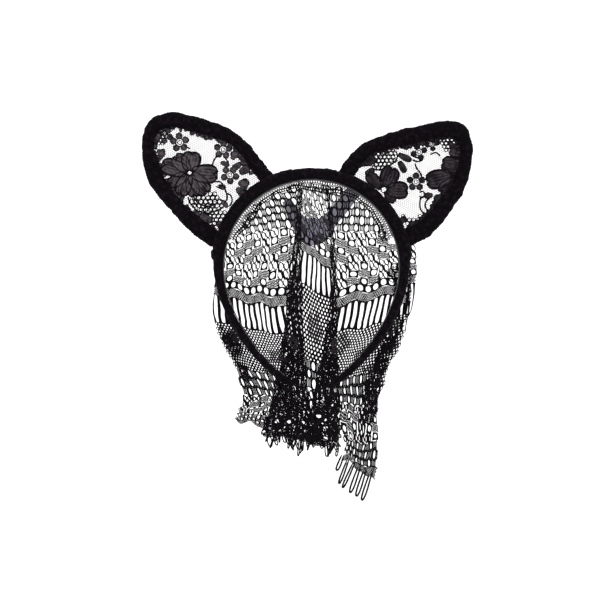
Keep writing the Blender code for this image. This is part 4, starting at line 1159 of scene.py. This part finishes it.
def crumpled_edge(angle, radius):
    """The border's radius: it reaches inwards by up to 0.55 of its width in long waves, and
    its inner edge swings by 0.35 sin(26 angle) mm."""
    reach = 0.55 * (0.5 + 0.5 * np.sin(6.0 * angle + 0.8)) ** 2
    return SELVAGE_OUTER - (SELVAGE_OUTER - radius) * (1.0 + reach) + 0.35 * MM * np.sin(angle * 26.0)


def round_crown(angle, radius):
    """Flat x and z places at angles from the crown's top and radii from the hoop's middle."""
    return np.stack((np.sin(angle) * radius, np.cos(angle) * radius - CROWN_RADIUS), axis=-1)


def build_crown_edge():
    """Border lace along the crown's inner edge: four rings of small ovals and two cords."""
    rows, columns, sides = 4, 84, 10
    step = (SELVAGE_OUTER - SELVAGE_INNER) / rows
    j, i = counted(rows, columns)
    angle = np.radians(-SELVAGE_ANGLE + 2.0 * SELVAGE_ANGLE * (i + 0.5 * (j % 2) + 0.5) / (columns + 1))
    radius = SELVAGE_INNER + (j + 0.5) * step
    half_turn = math.radians(SELVAGE_ANGLE) / (columns + 1)
    c, s = circle(sides)
    outer = square(c, s)
    hole = np.stack((c, s), axis=-1) * (1.0 - 0.40 * MM / np.array((half_turn * 61.0 * MM, step / 2.0)))
    middle = (outer + hole) / 2.0
    rings = np.stack((outer, middle, hole, middle))
    at_angle = angle[:, None, None] + rings[None, ..., 0] * half_turn
    at_radius = crumpled_edge(at_angle, radius[:, None, None] + rings[None, ..., 1] * step / 2.0)
    depth = np.interp(at_radius, (SELVAGE_INNER, SELVAGE_OUTER), (8.2 * MM, 6.9 * MM))
    depth = depth + np.array((0.0, 0.14, 0.0, -0.14))[:, None] * MM
    parts = [facing_out(upright(round_crown(at_angle, at_radius), depth), ring_faces(len(angle), 4, sides))]
    line = np.radians(np.linspace(-SELVAGE_ANGLE, SELVAGE_ANGLE, 200))
    for radius_at, width in ((SELVAGE_INNER, 0.30), (SELVAGE_INNER + step, 0.22)):
        path = upright(round_crown(line, crumpled_edge(line, radius_at)), 8.1 * MM)
        parts.append(threads(path[None], width * MM, 6))
    piece = make_piece("crown_edge_lace", *joined(parts), YARN, shade=0.1)
    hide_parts("veil_header")
    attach(piece, "crown")
    width, length = SELVAGE_FLAT_WIDTH, 2.0 * math.radians(SELVAGE_ANGLE) * 61.2 * MM


def fringe(name, cad_name, roots, lengths, widths, lean, radius):
    """Hairpin loops that hang from roots (x, y, z) in mm: down one side and up the other.

    x = width * cos(pi t) * (0.35 + 0.65 sin(pi t)), z = -length * sin(pi t)^0.7, sheared by lean.
    """
    t = np.linspace(0.0, 1.0, 26)[None, :]
    drop = lengths[:, None] * np.sin(np.pi * t) ** 0.7
    x = roots[:, 0:1] - widths[:, None] * np.cos(np.pi * t) * (0.35 + 0.65 * np.sin(np.pi * t))
    flat = np.stack((x + lean[:, None] * drop, roots[:, 2:3] - drop), axis=-1)
    piece = make_piece(name, *threads(upright(flat, roots[:, 1:2]) * MM, radius * MM), YARN, shade=0.05)
    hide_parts(cad_name)
    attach(piece, "veil")


def build_fringe():
    """Loose loops below the hem: a short clump in the middle, long ones at the right."""
    rng = np.random.default_rng(11)
    count = 34
    x = np.linspace(-31.0, 19.0, count) + rng.uniform(-0.8, 0.8, count)
    z = np.interp(x, (-31.0, -12.0, 0.0, 4.0, 8.0, 19.0), (-179.0, -182.0, -182.0, -178.0, -186.0, -188.0))
    lengths = rng.uniform(4.5, 11.0, count)
    lengths = np.where((x > -13.0) & (x < -3.0), lengths + 3.0, lengths)
    lengths[:2] = (10.5, 6.5)
    widths = rng.uniform(0.6, 1.9, count)
    widths[0] = 2.5
    roots = np.stack((x, 9.6 + 0.8 * rng.uniform(-1.0, 1.0, count), z), axis=1)
    lean = rng.uniform(-0.5, 0.5, count)
    fringe("centre_fringe_loops", "centre_fringe", roots, lengths + 1.2, widths, lean, 0.50)
    end_x, end_z = np.array(RIGHT_FRINGE_ENDS).T
    start_x = np.linspace(22.0, 42.5, len(end_x))
    start_z = np.interp(start_x, (21.7, 43.0), (-198.0, -210.5))
    lean = (end_x - start_x) / (start_z - end_z)
    roots = np.stack((start_x - 2.5 * lean, np.full(len(end_x), 9.2), start_z + 2.5), axis=1)
    widths = rng.uniform(1.6, 2.4, len(end_x))
    fringe("right_fringe_loops", "right_fringe", roots, start_z - end_z + 2.5, widths, lean, 0.72)


def build_ribbon():
    """Sheer ribbon swag: a pleated strip of half width w along its centreline, hung in a curve."""
    length, across = 160, np.linspace(-1.0, 1.0, 25)
    line = smooth_line(RIBBON_LINE, length)
    place = np.linspace(0.0, 1.0, length)
    width = RIBBON_HALF_WIDTH * (0.95 + 0.90 * np.exp(-((place - 0.60) / 0.13) ** 2) - 0.35 * place ** 6)
    flat = line[:, None, :] + sideways(line)[:, None, :] * (width[:, None] * across)[..., None]
    fold = 0.45 * np.sin(across[None, :] * 7.0 + 2.0 * soft_noise(line, 9.0, 51)[:, None])
    points = upright(flat, 12.6 + fold + 0.3 * soft_noise(flat, 5.0, 52)) * MM
    piece = make_piece("violet_ribbon_swag", points.reshape(-1, 3), grid_faces(length, len(across)), ORGANZA)
    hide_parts("inner_ribbon")
    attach(piece, "crown")


# ---------------------------------------------------------------- inner parts and studio

def finish_inner_parts():
    """Give the parts under the fabric their own materials."""
    looks = {"core": PLASTIC, "padding": WADDING, "wire": WIRE, "thread_tack": THREAD}
    for name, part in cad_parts.items():
        for word, material in looks.items():
            if word in name:
                part.data.materials.clear()
                part.data.materials.append(material)


def build_studio():
    """White floor that sweeps up into a white wall, a bright even room and soft lights."""
    bend = np.linspace(0.05, 1.57, 20)
    y = np.concatenate((np.linspace(-5.0, 0.75, 24), 0.75 + 0.5 * np.sin(bend), np.full(12, 1.25)))
    rise = np.concatenate((np.zeros(24), 0.5 - 0.5 * np.cos(bend), np.linspace(0.6, 1.9, 12)))
    x, y = np.meshgrid(np.linspace(-2.2, 2.2, 24), y, indexing="ij")
    points = np.stack((x, y, np.broadcast_to(rise, x.shape) + STUDIO_FLOOR), axis=-1).reshape(-1, 3)
    make_piece("studio_paper", points, grid_faces(*x.shape)[:, ::-1], PAPER)
    world = bpy.data.worlds.new("studio_room")
    world.use_nodes = True
    background = world.node_tree.nodes["Background"]
    background.inputs["Color"].default_value = (1.0, 1.0, 1.0, 1.0)
    background.inputs["Strength"].default_value = 1.0
    bpy.context.scene.world = world
    for name, place, size, power in (("key_light", (-0.7, -1.0, 0.9), 0.9, 9.0),
                                     ("fill_light", (0.9, -0.9, 0.4), 0.9, 5.0),
                                     ("top_light", (0.0, 0.2, 1.4), 1.2, 9.0)):
        data = bpy.data.lights.new(name, "AREA")
        data.size, data.energy = size, power
        light = bpy.data.objects.new(name, data)
        light.location = place
        bpy.context.scene.collection.objects.link(light)
        light.rotation_mode = "QUATERNION"
        light.rotation_quaternion = (Vector((0.0, 0.0, -0.08)) - Vector(place)).to_track_quat("-Z", "Y")


def build_camera():
    """Straight-on camera that frames the whole headband with wide white margins."""
    data = bpy.data.cameras.new("front_camera")
    data.lens = 60.0
    data.sensor_width = 36.0
    data.clip_start, data.clip_end = 0.01, 20.0
    camera = bpy.data.objects.new("front_camera", data)
    camera.location = (-0.00603, -0.7171, -0.0873)
    camera.rotation_euler = (math.radians(90.0), 0.0, 0.0)
    bpy.context.scene.collection.objects.link(camera)
    bpy.context.scene.camera = camera
    bpy.context.scene.view_settings.view_transform = "Standard"


build_camera()
build_studio()
build_hoop()
for ear_side in ("left", "right"):
    build_rim(ear_side)
    build_ear_wire(ear_side)
    build_ear_lace(ear_side)
build_crown_edge()
build_veil()
build_fringe()
build_ribbon()
finish_inner_parts()
